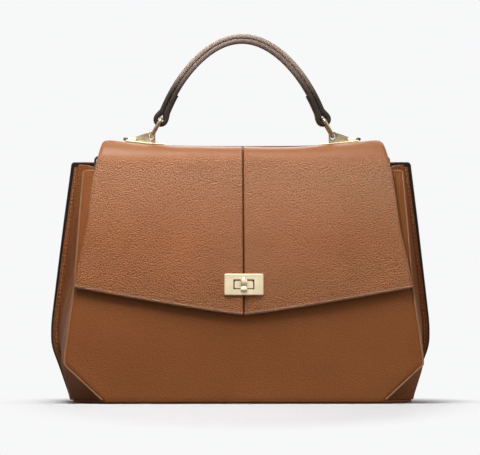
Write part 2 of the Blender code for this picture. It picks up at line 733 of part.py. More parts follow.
def make_handle(pivot):
    half = handle_half_path()
    mirrored = half[:0:-1] * np.array([-1, 1])
    path = np.concatenate([mirrored, half])
    ribbon_solid(
        "handle_strap", path, HANDLE_WIDTH, STRAP_THICKNESS, STRAP_BEVEL, TAN_EDGE, pivot
    )
    reach = TAIL_END_X - GAP
    inner = arch_point(along_profile(-reach, 2 * ARCH_STEPS, reach), INNER_OUT)
    ribbon_solid(
        "handle_inner_strip", inner, HANDLE_WIDTH, STRAP_THICKNESS, STRAP_BEVEL, TAN, pivot
    )


def make_handle_ring(name, side, pivot):
    """A wire D: the handle's loop holds its bar, and its bow hangs in the bracket's eye."""
    middle = np.array([side * LOOP_CENTRE[0], 0, LOOP_CENTRE[1]])
    reach = np.array([side * PIVOT_X, 0, PIVOT_Z]) - middle
    length = np.linalg.norm(reach)
    path = ring_path(middle, reach / length, RING_HALF_WIDTH, length, RING_CORNER)
    wire_solid(name, path, RING_WIRE_RADIUS, PALE_GOLD, pivot)


# The brackets that carry the rings on the flap's top


def upright_plate(name, outline, thickness, side, finish, pivot=None):
    """An outline of (x, z) places in the XZ plane, given its thickness along Y about the centre."""
    rings = [
        [(side * x, y, z) for x, z in outline] for y in (-thickness / 2, thickness / 2)
    ]
    return ring_solid(name, np.array(rings), finish, pivot)


def turned_piece(name, profile, centre, side, along, finish):
    """A round tool from (radius, distance) pairs, turned about a line along x or y."""
    turn = along_profile(0, TURNED_SIDES, 2 * math.pi)[:-1]
    rings = []
    for radius, distance in profile:
        flat = radius * np.cos(turn)
        height = centre[2] + radius * np.sin(turn)
        if along == "x":
            ring = [(side * distance, centre[1] + f, z) for f, z in zip(flat, height)]
        else:
            ring = [(side * (centre[0] + f), distance, z) for f, z in zip(flat, height)]
        rings.append(ring)
    return ring_solid(name, np.array(rings), finish)


def bracket_seat(x):
    """Underside of the bracket's plate: just above the highest leather under it."""
    return float(roof_z(x, -BRACKET_PLATE_DEPTH / 2, FLAP_FACE)) + GAP


def make_bracket(name, side, pivot):
    """A plate on the flap's top with an upright fin, whose eye widens both ways for the ring's swing."""
    x = along_profile(BRACKET_INNER_X, BRACKET_PLATE_STEPS, BRACKET_OUTER_X)
    z = np.array([bracket_seat(place) for place in x]) + BRACKET_PLATE_THICKNESS / 2
    plate = ribbon_solid(
        name, np.stack([side * x, z], axis=-1), BRACKET_PLATE_DEPTH, BRACKET_PLATE_THICKNESS,
        BRACKET_PLATE_BEVEL, PALE_GOLD, pivot,
    )
    foot_inner = bracket_seat(FIN_INNER_X) + BRACKET_PLATE_THICKNESS
    foot_outer = bracket_seat(FIN_OUTER_X) + BRACKET_PLATE_THICKNESS
    crown_turn = math.acos((PIVOT_X - FIN_INNER_X) / FIN_TOP_ABOVE_PIVOT)
    crown = [
        (
            PIVOT_X - FIN_TOP_ABOVE_PIVOT * math.cos(a),
            PIVOT_Z + FIN_TOP_ABOVE_PIVOT * math.sin(a),
        )
        for a in along_profile(crown_turn, CROWN_STEPS, math.pi - crown_turn)
    ]
    outline = [(FIN_INNER_X, foot_inner - BRACKET_SINK)] + crown
    outline += [
        (FIN_OUTER_X, foot_outer + FIN_OUTER_ABOVE_PLATE),
        (FIN_OUTER_X, foot_outer - BRACKET_SINK),
    ]
    fin = upright_plate(name + "_fin_tool", outline, FIN_THICKNESS, side, PALE_GOLD)
    combine(plate, fin, "UNION")
    tongue_z = bracket_seat(TONGUE_END_X) + BRACKET_PLATE_THICKNESS + TONGUE_RADIUS - BRACKET_SINK
    tongue = turned_piece(
        name + "_tongue_tool",
        [
            (TONGUE_RADIUS, FIN_OUTER_X - TONGUE_RADIUS),
            (TONGUE_RADIUS, TONGUE_END_X - TONGUE_RADIUS / 2),
            (TONGUE_RADIUS / 2, TONGUE_END_X),
        ],
        (0, 0, tongue_z), side, "x", PALE_GOLD,
    )
    combine(plate, tongue, "UNION")
    waist = RING_WIRE_RADIUS / math.cos(math.radians(RING_SWING_DEG)) + EYE_CLEAR
    mouth = waist + FIN_THICKNESS * math.tan(math.radians(EYE_FLARE_DEG))
    eye = turned_piece(
        name + "_eye_tool", [(mouth, -FIN_THICKNESS), (waist, 0), (mouth, FIN_THICKNESS)],
        (PIVOT_X, 0, PIVOT_Z), side, "y", PALE_GOLD,
    )
    combine(plate, eye, "DIFFERENCE")


def make_bracket_backing(name, side, pivot):
    """The clamping plate under the flap's lining, below its bracket."""
    high = [
        (x, float(roof_z(x, BRACKET_PLATE_DEPTH / 2, FLAP_LINING_START)) - GAP)
        for x in along_profile(BRACKET_OUTER_X, BRACKET_PLATE_STEPS, BRACKET_INNER_X)
    ]
    low = [(x, z - BACKING_THICKNESS) for x, z in reversed(high)]
    upright_plate(name, low + high, BRACKET_PLATE_DEPTH, side, PALE_GOLD, pivot)


# The side tabs and rings

TAB_CENTRE = np.array([
    float(crest_half_width(GUSSET_TOP)) - GUSSET_THICKNESS / 2, GUSSET_TOP + TAB_LOOP_ABOVE_GUSSET
])


def make_side_tab(name, side):
    """A short strap folded over the side's top edge, with a loop above it for the ring's bar."""
    loop_radius = TAB_LOOP_INNER_RADIUS + TAB_THICKNESS / 2
    leg_out = GUSSET_THICKNESS / 2 + GAP + TAB_THICKNESS / 2
    share = along_profile(0, TAB_LEG_STEPS, 1)
    leg_z = GUSSET_TOP - TAB_LEG_LENGTH * (1 - share)
    leg_x = crest_half_width(leg_z) - GUSSET_THICKNESS / 2
    ease = share**2 * (3 - 2 * share)
    neck_out = leg_out + (loop_radius - leg_out) * ease
    neck_z = GUSSET_TOP + TAB_LOOP_ABOVE_GUSSET * share
    turn = along_profile(0, LOOP_TURN_STEPS, math.pi)
    halves = []
    for out in (1, -1):
        leg = np.stack([leg_x + out * leg_out, leg_z], axis=-1)
        neck = np.stack([TAB_CENTRE[0] + out * neck_out, neck_z], axis=-1)
        halves.append(np.concatenate([leg, neck[1:]]))
    over = TAB_CENTRE + loop_radius * np.stack([np.cos(turn), np.sin(turn)], axis=-1)
    path = np.concatenate([halves[0], over[1:-1], halves[1][::-1]]) * np.array([side, 1])
    ribbon_solid(name, path, TAB_WIDTH, TAB_THICKNESS, TAB_BEVEL, TAN_EDGE)


def make_side_ring(name, side, pivot):
    lean = math.radians(SIDE_RING_LEAN_DEG)
    middle = np.array([side * TAB_CENTRE[0], 0, TAB_CENTRE[1]])
    down = np.array([side * math.sin(lean), 0, -math.cos(lean)])
    path = ring_path(middle, down, SIDE_RING_HALF_WIDTH, SIDE_RING_LENGTH, SIDE_RING_CORNER)
    wire_solid(name, path, SIDE_RING_WIRE_RADIUS, PALE_GOLD, pivot)


# Putting the bag together

clear_scene()
make_front_panel()
make_back_panel()
make_base()
make_lining()
make_lock_base()

flap_pivot = add_pivot("flap_hinge", (0.0, HINGE_Y, BACK_HEIGHT))
make_flap(flap_pivot)
make_lock_plates(flap_pivot)
handle_pivot = add_pivot("handle_axis", (0.0, 0.0, PIVOT_Z), flap_pivot)
make_handle(handle_pivot)
knob_pivot = add_pivot("knob_axis", LOCK_CENTRE.tolist())
make_turn_knob(knob_pivot)

for word, side in (("left", -1), ("right", 1)):
    make_gusset("gusset_" + word, side)
    make_bracket("bracket_" + word, side, flap_pivot)
    make_bracket_backing("bracket_backing_" + word, side, flap_pivot)
    ring_pivot = add_pivot("handle_ring_axis_" + word, (side * PIVOT_X, 0.0, PIVOT_Z), flap_pivot)
    make_handle_ring("handle_ring_" + word, side, ring_pivot)
    make_side_tab("side_tab_" + word, side)
    tab_pivot = add_pivot(
        "side_ring_axis_" + word, (side * float(TAB_CENTRE[0]), 0.0, float(TAB_CENTRE[1]))
    )
    make_side_ring("side_ring_" + word, side, tab_pivot)
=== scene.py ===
import bmesh
import bpy
import numpy as np
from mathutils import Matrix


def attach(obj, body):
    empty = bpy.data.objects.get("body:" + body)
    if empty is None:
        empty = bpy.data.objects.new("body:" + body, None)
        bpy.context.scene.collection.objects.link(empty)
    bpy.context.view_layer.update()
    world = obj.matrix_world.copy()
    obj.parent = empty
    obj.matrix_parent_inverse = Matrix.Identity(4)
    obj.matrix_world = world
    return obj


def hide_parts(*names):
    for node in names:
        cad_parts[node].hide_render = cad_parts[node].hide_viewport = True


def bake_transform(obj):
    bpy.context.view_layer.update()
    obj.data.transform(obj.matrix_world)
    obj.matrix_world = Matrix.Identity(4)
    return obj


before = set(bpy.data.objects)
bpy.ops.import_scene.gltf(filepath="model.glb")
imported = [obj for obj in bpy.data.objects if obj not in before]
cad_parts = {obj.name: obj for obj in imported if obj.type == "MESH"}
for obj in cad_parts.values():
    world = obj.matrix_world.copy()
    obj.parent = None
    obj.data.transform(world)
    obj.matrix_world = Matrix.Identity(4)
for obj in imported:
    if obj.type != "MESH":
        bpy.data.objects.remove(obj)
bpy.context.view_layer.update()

# Camera: level with the bag's middle and far off, with a long lens, and a little to the left, so that
# the front stands slightly larger than the wings and to their right, as in the photograph.
CAMERA_DISTANCE = 5.5
CAMERA_TURN = np.radians(1.6)
CAMERA_AIM = (-0.0007, 0.1522)
CAMERA_HEIGHT = 0.14
WING_DEPTH = 0.04
FRAME_WIDTH = 0.4224
SENSOR_WIDTH = 36
eye = bpy.data.cameras.new("photo_camera")
eye.sensor_width = SENSOR_WIDTH
eye.lens = SENSOR_WIDTH * CAMERA_DISTANCE / FRAME_WIDTH
eye.shift_y = (CAMERA_AIM[1] - CAMERA_HEIGHT) / FRAME_WIDTH
eye.clip_end = 60
camera = bpy.data.objects.new("photo_camera", eye)
bpy.context.scene.collection.objects.link(camera)
camera.location = (
    CAMERA_AIM[0] - CAMERA_DISTANCE * np.sin(CAMERA_TURN),
    WING_DEPTH - CAMERA_DISTANCE * np.cos(CAMERA_TURN),
    CAMERA_HEIGHT,
)
camera.rotation_euler = (np.pi / 2, 0, -CAMERA_TURN)
bpy.context.scene.camera = camera
bpy.context.scene.view_settings.view_transform = "Standard"


# Stage: a plain pale floor that falls away gently in front of the bag and fades into the room, under a
# strong lamp above, softer ones in front and behind and weak ones at the sides. What the camera, gloss
# and glass see of the room is near white.
class Strand:
    """A shader socket. A sum or product of strands and numbers adds its Math nodes."""

    def __init__(self, socket):
        self.socket = socket

    def node(self, kind, settings=None, values=None, out=0):
        """Any other node: its settings are set first, then its sockets are given values or links."""
        made = self.socket.id_data.nodes.new(kind)
        for key, value in (settings or {}).items():
            setattr(made, key, value)
        for key, value in (values or {}).items():
            if isinstance(value, Strand):
                value.into(made.inputs[key])
            else:
                made.inputs[key].default_value = value
        return Strand(made.outputs[out])

    def into(self, socket):
        self.socket.id_data.links.new(self.socket, socket)

    def work(self, operation, *others):
        values = dict(enumerate((self, *others)))
        return self.node("ShaderNodeMath", {"operation": operation}, values)

    def __add__(self, other):
        return self.work("ADD", other)

    def __sub__(self, other):
        return self.work("SUBTRACT", other)

    def __rsub__(self, other):
        return self.node("ShaderNodeMath", {"operation": "SUBTRACT"}, {0: other, 1: self})

    def __mul__(self, other):
        return self.work("MULTIPLY", other)

    __radd__, __rmul__ = __add__, __mul__

    def least(self, other):
        return self.work("MINIMUM", other)

    def most(self, other):
        return self.work("MAXIMUM", other)

    def step(self, low, high):
        """0 below low, 1 above high, and smooth between them."""
        settings = {"interpolation_type": "SMOOTHSTEP"}
        values = {"Value": self, "From Min": low, "From Max": high}
        return self.node("ShaderNodeMapRange", settings, values)

    def mix(self, first, second):
        """A colour that goes from first to second as this strand goes from 0 to 1."""
        colours = [c if isinstance(c, Strand) else (*c, 1) for c in (first, second)]
        values = {0: self, 6: colours[0], 7: colours[1]}
        return self.node("ShaderNodeMix", {"data_type": "RGBA"}, values, 2)

    def noise(self, scale, detail=2.0):
        return self.node("ShaderNodeTexNoise", None, {"Vector": self, "Scale": scale, "Detail": detail})

    def mark(self, name):
        """The value of one of the mesh's own attributes."""
        return self.node("ShaderNodeAttribute", {"attribute_name": name}, None, 2)

    def raise_into(self, shader, distance, strength=1.0):
        """Lets the light see this strand as a height of the surface, through a Bump node."""
        values = {"Strength": strength, "Distance": distance, "Height": self}
        self.node("ShaderNodeBump", None, values).into(shader.inputs["Normal"])


def new_finish(name, **sockets):
    """A material with its Principled shader's plain sockets set, and its Object coordinates."""
    finish = bpy.data.materials.new(name)
    finish.use_nodes = True
    shader = finish.node_tree.nodes["Principled BSDF"]
    for key, value in sockets.items():
        shader.inputs[key.replace("_", " ")].default_value = value
    place = finish.node_tree.nodes.new("ShaderNodeTexCoord")
    return finish, shader, Strand(place.outputs["Object"])


FLOOR_COLOUR = (0.78, 0.78, 0.795)
FLOOR_SPECK_SHARE = 0.985
FLOOR_SPECK_SCALE = 6.0
FLOOR_HALF = 40.0
FLOOR_BOUNCE = (0.22, 0.22, 0.22)
FLOOR_NEAR = 0.16
FLOOR_FAR = 0.235
FLOOR_DROP = -0.0006
FLOOR_FOLD_Y = -0.059
FLOOR_SLOPE = 0.11
ROOM_COLOUR = (0.935, 0.937, 0.945)
ROOM_SEEN = 0.90
ROOM_IN_GLOSS = 0.75
ROOM_LIGHT = 0.10
floor_finish, floor_shader, floor_place = new_finish("floor_paper", Roughness=0.9)
speck = floor_place.noise(FLOOR_SPECK_SCALE)
rays = Strand(floor_place.node("ShaderNodeLightPath").socket)
paper = speck.mix(FLOOR_COLOUR, [FLOOR_SPECK_SHARE * part for part in FLOOR_COLOUR])
rays.mix(FLOOR_BOUNCE, paper).into(floor_shader.inputs["Base Color"])
away = floor_place.node("ShaderNodeVectorMath", {"operation": "LENGTH"}, {0: floor_place}, 1)
room_glow = floor_place.node("ShaderNodeEmission", None, {"Color": (*ROOM_COLOUR, 1)})
floor_look = floor_place.node(
    "ShaderNodeMixShader", None,
    {0: away.step(FLOOR_NEAR, FLOOR_FAR) * rays, 1: Strand(floor_shader.outputs[0]), 2: room_glow},
)
floor_look.into(floor_finish.node_tree.nodes["Material Output"].inputs["Surface"])
floor_mesh = bpy.data.meshes.new("floor")
floor_y = np.array([-FLOOR_HALF, FLOOR_FOLD_Y, FLOOR_HALF])
floor_z = FLOOR_DROP - FLOOR_SLOPE * np.clip(FLOOR_FOLD_Y - floor_y, 0, None)
floor_mesh.from_pydata(
    [(x, y, z) for x in (-FLOOR_HALF, FLOOR_HALF) for y, z in zip(floor_y, floor_z)],
    [], [(0, 3, 4, 1), (1, 4, 5, 2)],
)
floor_mesh.materials.append(floor_finish)
floor = bpy.data.objects.new("floor", floor_mesh)
bpy.context.scene.collection.objects.link(floor)

LAMPS = (
    ("lamp_above", (-0.12, -0.26, 0.66), (0.0, 0.0, 0.12), 0.34, 4.6),
    ("lamp_front", (-0.35, -1.70, 1.15), (0.0, 0.0, 0.13), 0.8, 2.2),
    ("lamp_left", (-1.5, -0.2, 0.7), (0.0, 0.0, 0.12), 0.7, 0.9),
    ("lamp_right", (1.5, -0.5, 0.6), (0.0, 0.0, 0.12), 0.7, 5.5),
    ("lamp_behind", (0.1, 0.9, 0.7), (0.0, 0.0, 0.12), 0.6, 4.5),
)
for name, place, aim, size, power in LAMPS:
    glow = bpy.data.lights.new(name, "AREA")
    glow.size, glow.energy = size, power
    lamp = bpy.data.objects.new(name, glow)
    bpy.context.scene.collection.objects.link(lamp)
    lamp.location = place
    run = np.array(aim) - np.array(place)
    lamp.rotation_euler = (
        np.arctan2(np.hypot(run[0], run[1]), -run[2]), 0, np.arctan2(-run[0], run[1])
    )

room = bpy.data.worlds.new("room")
bpy.context.scene.world = room
room.use_nodes = True
backdrop = room.node_tree.nodes["Background"]
rays = room.node_tree.nodes.new("ShaderNodeLightPath")
backdrop.inputs["Color"].default_value = (*ROOM_COLOUR, 1)
straight = Strand(rays.outputs["Is Camera Ray"]).most(Strand(rays.outputs["Is Transmission Ray"]))
glossy = Strand(rays.outputs["Is Glossy Ray"])
(straight * ROOM_SEEN + glossy * ROOM_IN_GLOSS + ROOM_LIGHT).into(backdrop.inputs["Strength"])


# Front panel: firm pebbled calfskin over a stiffener, leaning back, with chamfered lower corners and a
# face that swells by about 4 mm. Its edges are turned and sewn to the sides.
FRONT_HEIGHT = 0.202
BASE_DEPTH = 0.116
TOP_DEPTH = 0.060
FRONT_HALF_WIDTH = 0.156
PANEL_THICKNESS = 0.0025
FRONT_BULGE = 0.004
FRONT_TRIM = 0.0012
FRONT_TOP_TRIM = 0.0006
TURNED_BAND = 0.006
TURNED_DEPTH = 0.0009
FRONT_WAVE = 0.00035
FRONT_HEIGHT_SHARES = (0.005, 0.165, 0.218, 0.5, 0.743, 1.0)
FRONT_WIDTH_SHARES = (0.776, 1.0, 0.994, 0.942, 0.919, 0.891)
TAN = (0.710, 0.258, 0.070)
TAN_DEEP = (0.208, 0.054, 0.010)
# Smooth leather's tan; above the flap's lock it also paints a shallow dip's shade.
TAN_SMOOTH_AND_SHADE = (0.225, 0.082, 0.024)
# Painted shade: the front panel's tan is a darker copy of the flap's, for the flap's shade over it.
FRONT_SHADED_TAN = (0.400, 0.140, 0.046)
FRONT_SHADED_DEEP = (0.225, 0.067, 0.017)
# The paler tan of the flap's lower edge, and of the painted sheen on its upper front.
PALE_AND_SHEEN_TAN = (0.700, 0.400, 0.250)
EDGE_PAINT = (0.026, 0.017, 0.013)
GRAIN_SCALE = 1280.0
SWIRL_SCALE = 260.0
FINE_GRAIN_SCALE = 1500.0
FRAY_SCALE = 900.0
BROAD_SCALE = 14.0
CLOUD_SCALE = 50.0
GRAIN_DEPTH = 0.0008
GRAIN_WARP = (0.0012, 0.0012, 0.0012)
GRAIN_TURN = (0.0, -0.75, 0.0)
GRAIN_STRETCH = (2.0, 1.0, 1.0)
PAINTED_RELIEF_SHIFT = (-0.0003, 0.0, 0.0004)
MERGE_REACH = 1e-7
SHARP_ANGLE = np.radians(50)


def front_lean(z):
    """Depth of the front panel's face at its side edges: a plane that leans back."""
    return BASE_DEPTH / 2 - (BASE_DEPTH - TOP_DEPTH) / 2 * z / FRONT_HEIGHT


def front_y(x, z):
    """The leaning plane, less a bulge of 1 - (x / half width) squared times sin squared up the panel."""
    across = np.clip(1 - (x / FRONT_HALF_WIDTH) ** 2, 0, 1)
    upward = np.sin(np.pi * np.clip(z / FRONT_HEIGHT, 0, 1)) ** 2
    return -(front_lean(z) + FRONT_BULGE * across * upward)


def front_half_width(z):
    return FRONT_HALF_WIDTH * np.interp(z / FRONT_HEIGHT, FRONT_HEIGHT_SHARES, FRONT_WIDTH_SHARES)


def pebble_height(place):
    """Domes of about 1.6 by 0.8 mm: 1 - the smooth distance to cell centres, on stretched places."""
    swirl = place.node("ShaderNodeTexNoise", None, {"Vector": place, "Scale": SWIRL_SCALE, "Detail": 1.0}, 1)
    warp = place.node(
        "ShaderNodeVectorMath", {"operation": "MULTIPLY_ADD"}, {0: swirl, 1: GRAIN_WARP, 2: place}
    )
    slant = warp.node(
        "ShaderNodeMapping", {"vector_type": "TEXTURE"},
        {"Vector": warp, "Rotation": GRAIN_TURN, "Scale": GRAIN_STRETCH},
    )
    cells = slant.node(
        "ShaderNodeTexVoronoi", {"feature": "SMOOTH_F1"},
        {"Vector": slant, "Scale": GRAIN_SCALE, "Randomness": 0.85, "Smoothness": 0.3},
    )
    return 1 - cells.step(0.02, 0.85)


def pebbled(name, light=TAN, deep=TAN_DEEP, relief=1.0, sheen=0.3, dark=EDGE_PAINT):
    """Pebbled leather: domes with dark creases, over cloudy tan. The domes carry painted light: each is
    lighter on its upper-left side and darker on its lower-right, from its height less the height
    a little up and to the left of it.

    The attribute painted is 1 on a cut edge and falls to 0 at 4 mm from it; on the flap it is 1 in the
    seam's fold instead, where it paints shade. The attribute ironed is 1 where the grain is pressed out
    smooth, and above the flap's lock it also paints the shade of a shallow dip. The attribute worn is 1
    where the flap's lower edge is paler, and on the flap's upper front it paints a sheen, paler on domes.
    """
    finish, shader, place = new_finish(name, Specular_IOR_Level=sheen)
    dome = pebble_height(place)
    # Painted light: lighter on each dome's upper-left side and darker on its lower-right, as if lit.
    beside = place.node("ShaderNodeVectorMath", {"operation": "ADD"}, {0: place, 1: PAINTED_RELIEF_SHIFT})
    painted_relief = dome - pebble_height(beside)
    fine = place.noise(FINE_GRAIN_SCALE)
    ironed = place.mark("ironed")
    paint = (place.mark("painted") + place.noise(FRAY_SCALE) * 0.05).step(0.46, 0.52)
    grainy = relief - ironed.most(paint) * relief * 0.93
    broad = place.noise(BROAD_SCALE, 3.0)
    cloudy = place.noise(CLOUD_SCALE, 3.0)
    shade = broad * 0.3 + cloudy * 0.15 + 0.20 + (dome * 0.24 + painted_relief * 0.85 - 0.12) * grainy
    colour = shade.least(1.0).most(0.0).mix(deep, light)
    colour = (ironed * 0.8).mix(colour, TAN_SMOOTH_AND_SHADE)
    colour = (place.mark("worn") * (0.5 + 0.5 * dome)).mix(colour, PALE_AND_SHEEN_TAN)
    colour = paint.mix(colour, dark)
    colour.into(shader.inputs["Base Color"])
    (0.36 + 0.08 * cloudy + 0.10 * (1 - dome) - 0.05 * paint).into(shader.inputs["Roughness"])
    ((dome + fine * 0.12) * grainy).raise_into(shader, GRAIN_DEPTH)
    return finish


def places(*parts):
    """Points from their parts, such as x, y and z, which are spread to one shape."""
    return np.stack(np.broadcast_arrays(*parts), axis=-1)


def unit(vectors):
    return vectors / np.linalg.norm(vectors, axis=-1, keepdims=True)


def full_turn(count):
    return np.linspace(0, 2 * np.pi, count, endpoint=False)


def add_piece(name, points, faces, finish, body, slot, replaced=(), **marks):
    """A closed mesh that rides on a body. A mark is a function of its points, or one value for all.

    Doubled points are merged, and a negative volume, the sum of a . (b x c) over the faces, turns the
    faces round.
    """
    points = np.asarray(points, float).reshape(-1, 3)
    faces = np.asarray(faces)
    a, b, c, d = (points[faces[:, k]] for k in range(4))
    volume = np.einsum("ij,ij->", a, np.cross(b, c) + np.cross(c, d))
    mesh = bpy.data.meshes.new(name)
    mesh.from_pydata(points.tolist(), [], (faces if volume > 0 else faces[:, ::-1]).tolist())
    for mark, rule in marks.items():
        layer = mesh.attributes.new(mark, "FLOAT", "POINT")
        values = rule(points) if callable(rule) else np.full(len(points), rule)
        layer.data.foreach_set("value", np.asarray(values, np.float32))
    work = bmesh.new()
    work.from_mesh(mesh)
    bmesh.ops.remove_doubles(work, verts=work.verts, dist=MERGE_REACH)
    work.to_mesh(mesh)
    work.free()
    mesh.shade_smooth()
    mesh.set_sharp_from_angle(angle=SHARP_ANGLE)
    mesh.materials.append(finish)
    piece = bpy.data.objects.new(name, mesh)
    bpy.context.scene.collection.objects.link(piece)
    if body:
        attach(piece, body)
    if replaced:
        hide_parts(*replaced)
    return piece


def loft_faces(loops):
    """Quads between rows of point numbers, each row closed on itself."""
    low, high = loops[..., :-1, :], loops[..., 1:, :]
    return places(np.roll(low, -1, -1), low, high, np.roll(high, -1, -1)).reshape(-1, 4)


def add_rings(name, rings, finish, body, slot, replaced=(), ends="open", **marks):
    """A skin over a run of rings, whose end rings are gathered to points, joined, or left as they are."""
    rings = np.asarray(rings)
    if ends == "gathered":
        middles = rings.mean(axis=1, keepdims=True) + 0 * rings
        rings = np.concatenate([middles[:1], rings, middles[-1:]])
    loops = np.arange(rings[..., 0].size).reshape(rings.shape[:2])
    if ends == "joined":
        loops = np.concatenate([loops, loops[:1]])
    return add_piece(name, rings, loft_faces(loops), finish, body, slot, replaced, **marks)


def add_sheet(name, outer, inner, finish, body, slot, replaced=(), rim=0.6, **marks):
    """Leather between a grid for its face and one for its back, with a rounded edge.

    The edge's rows are middle + cos a . half thickness + sin a . rim . half thickness outwards.
    """
    rows, columns = outer.shape[:2]
    count = rows * columns
    number = np.arange(count).reshape(rows, columns)
    border = np.concatenate([number[0, :-1], number[:-1, -1], number[-1, :0:-1], number[:0:-1, 0]])
    face, back = outer.reshape(-1, 3), inner.reshape(-1, 3)
    middle = (face[border] + back[border]) / 2
    half = (face[border] - back[border]) / 2
    away = unit(np.cross(np.roll(middle, -1, 0) - np.roll(middle, 1, 0), half))
    if np.einsum("ij,ij->", away, middle - face.mean(axis=0)) < 0:
        away = -away
    away *= rim * np.linalg.norm(half, axis=1)[:, None]
    turn = (np.pi / 4 * np.arange(1, 4))[:, None, None]
    edge = middle + np.cos(turn) * half + np.sin(turn) * away
    size = len(border)
    middle_loops = 2 * count + np.arange(3 * size).reshape(3, size)
    loops = np.concatenate([border[None], middle_loops, count + border[None]])
    quads = places(number[:-1, :-1], number[:-1, 1:], number[1:, 1:], number[1:, :-1]).reshape(-1, 4)
    points = np.concatenate([face, back, edge.reshape(-1, 3)])
    faces = np.concatenate([quads, count + quads[:, ::-1], loft_faces(loops)])
    return add_piece(name, points, faces, finish, body, slot, replaced, **marks)


def crowded(count, ends):
    """Values from -1 to 1 that crowd at both ends: a blend of an even run and half a sine wave."""
    even = np.linspace(-1, 1, count)
    return (1 - ends) * even + ends * np.sin(even * np.pi / 2)


# The front's darker copy of the tan paints the flap's shade on the panel.
front_shaded_finish = pebbled("front_shaded_pebbled_leather", FRONT_SHADED_TAN, FRONT_SHADED_DEEP, 0.28, 0.12)
z = FRONT_TRIM + (crowded(110, 0.7) / 2 + 0.5)[:, None] * (FRONT_HEIGHT - FRONT_TRIM - FRONT_TOP_TRIM)
across = crowded(130, 0.8)[None, :]
x = across * (front_half_width(z) - FRONT_TRIM)
edge_share = np.minimum((1 - np.abs(across)) * FRONT_HALF_WIDTH, z) / TURNED_BAND
drawn_in = TURNED_DEPTH * (1 - np.clip(edge_share, 0, 1)) ** 2
wave = FRONT_WAVE * np.sin(x * 61 + z * 23) * np.sin(z * 47 - x * 19 + 0.7)
face_y = front_y(x, z) + drawn_in + wave * np.clip(edge_share / 3, 0, 1)
add_sheet(
    "front_leather", places(x, face_y, z), places(x, front_y(x, z) + PANEL_THICKNESS, z),
    front_shaded_finish, "bag", "tan_leather", ["front_panel"],
)


# Front edges: the panel's leather is turned round a thin cord where it is sewn to the sides, which
# shows as a light line from the top down past the chamfer. The cord's paler tan is a painted highlight
# along that fold.
BEAD_RADIUS = 0.0008
BEAD_INSET = 0.0004
BEAD_TOP_DROP = 0.001
BEAD_FOOT = 0.003
BEAD_STEP = 0.0022
BEAD_IRONED = 0.35
BEAD_HIGHLIGHT_TAN = (0.560, 0.290, 0.160)
BEAD_HIGHLIGHT_DEEP = (0.360, 0.170, 0.085)


def add_tube(name, path, radius, finish, body, slot, replaced=(), sides=10, closed=False, **marks):
    """A round section carried along a path: path + radius (cos a . side + sin a . lift).

    side is the path's direction crossed with a fixed lift, and each end closes to a point.
    """
    if closed:
        run = np.roll(path, -1, 0) - np.roll(path, 1, 0)
    else:
        run = np.gradient(path, axis=0)
    flat = unit(np.cross(path[len(path) // 4] - path[0], path[len(path) // 2] - path[0]))
    side = unit(np.cross(unit(run), flat))
    lift = np.cross(side, unit(run))
    a = full_turn(sides)[None, :, None]
    rings = path[:, None] + radius * (np.cos(a) * side[:, None] + np.sin(a) * lift[:, None])
    ends = "joined" if closed else "gathered"
    return add_rings(name, rings, finish, body, slot, replaced, ends, **marks)


def path_lengths(path):
    """How far along the path each of its points is."""
    return np.concatenate([[0], np.cumsum(np.linalg.norm(np.diff(path, axis=0), axis=1))])


def along(path, step):
    """The same path with its points an even step apart."""
    gone = path_lengths(path)
    spots = np.linspace(0, gone[-1], max(int(gone[-1] / step), 2))
    return np.stack([np.interp(spots, gone, path[:, k]) for k in range(path.shape[1])], axis=-1)


bead_highlight_finish = pebbled("bead_highlight_leather", BEAD_HIGHLIGHT_TAN, BEAD_HIGHLIGHT_DEEP, 0.2, 0.2)
for word, side in (("left", -1), ("right", 1)):
    z = np.linspace(FRONT_HEIGHT - BEAD_TOP_DROP, BEAD_FOOT, 140)
    x = side * (front_half_width(z) - BEAD_INSET)
    add_tube(
        "front_edge_" + word, along(places(x, front_y(x, z) + BEAD_RADIUS, z), BEAD_STEP), BEAD_RADIUS,
        bead_highlight_finish, "bag", "tan_leather", ironed=BEAD_IRONED,
    )


# Back panel: one stiff board covered in the same leather on both faces. Its sides stand past the bag as
# two rounded wings, whose cut edges are painted dark and sewn all round.
BACK_HEIGHT = 0.2197
WING_HEIGHT = 0.2086
BACK_HALF_WIDTH = 0.1663
NECK_HALF_WIDTH = 0.122
WING_HEIGHT_SHARES = (0.005, 0.149, 0.23, 0.28, 0.336, 0.506, 0.75, 1.0)
WING_WIDTH_SHARES = (0.9, 0.962, 1.0, 1.003, 1.0, 0.974, 0.936, 0.894)
WING_CORNER = 0.002
WING_SPREAD = np.linspace(-0.006, 0.006, 9)
WING_STEP_RISE = 0.0001
NECK_FILLET = 0.004
NECK_FILLET_STEP = 0.001
NECK_FOOT_RISE = 0.0006
GAP = 0.0003
BACK_FOOT = 0.0012
BACK_TRIM = 0.0007
BACK_WAVE = 0.0003
PAINT_REACH = 0.0052
PAINT_DROP = 0.006
PAINT_HEIGHTS = (0.02, 0.09, 0.2)
PAINT_REACH_SHARES = (0.25, 0.6, 1.0)
FAR = 1.0
# Painted shade: the body's tan is a darker copy of the flap's, for the shade on the wings and sides;
BODY_SHADED_TAN = (0.43, 0.152, 0.050)
# the base and the hinge share it.
BODY_SHADED_DEEP = (0.24, 0.072, 0.019)
THREAD = (0.46, 0.25, 0.13)
DARK_THREAD = (0.080, 0.027, 0.012)
PLY_SHARE = 0.75
PLY_SCALE = 1500.0
PLY_DEPTH = 0.0002
STITCH_PITCH = 0.0036
STITCH_LENGTH = 0.0026
STITCH_RADIUS = 0.00042
WING_STITCH_INSET = 0.0044
WING_STITCH_FOOT = 0.012
WING_STITCH_DROP = 0.0046


def back_y(z):
    """Back panel's face: a plane that leans forward."""
    return BASE_DEPTH / 2 - (BASE_DEPTH - TOP_DEPTH) / 2 * z / BACK_HEIGHT


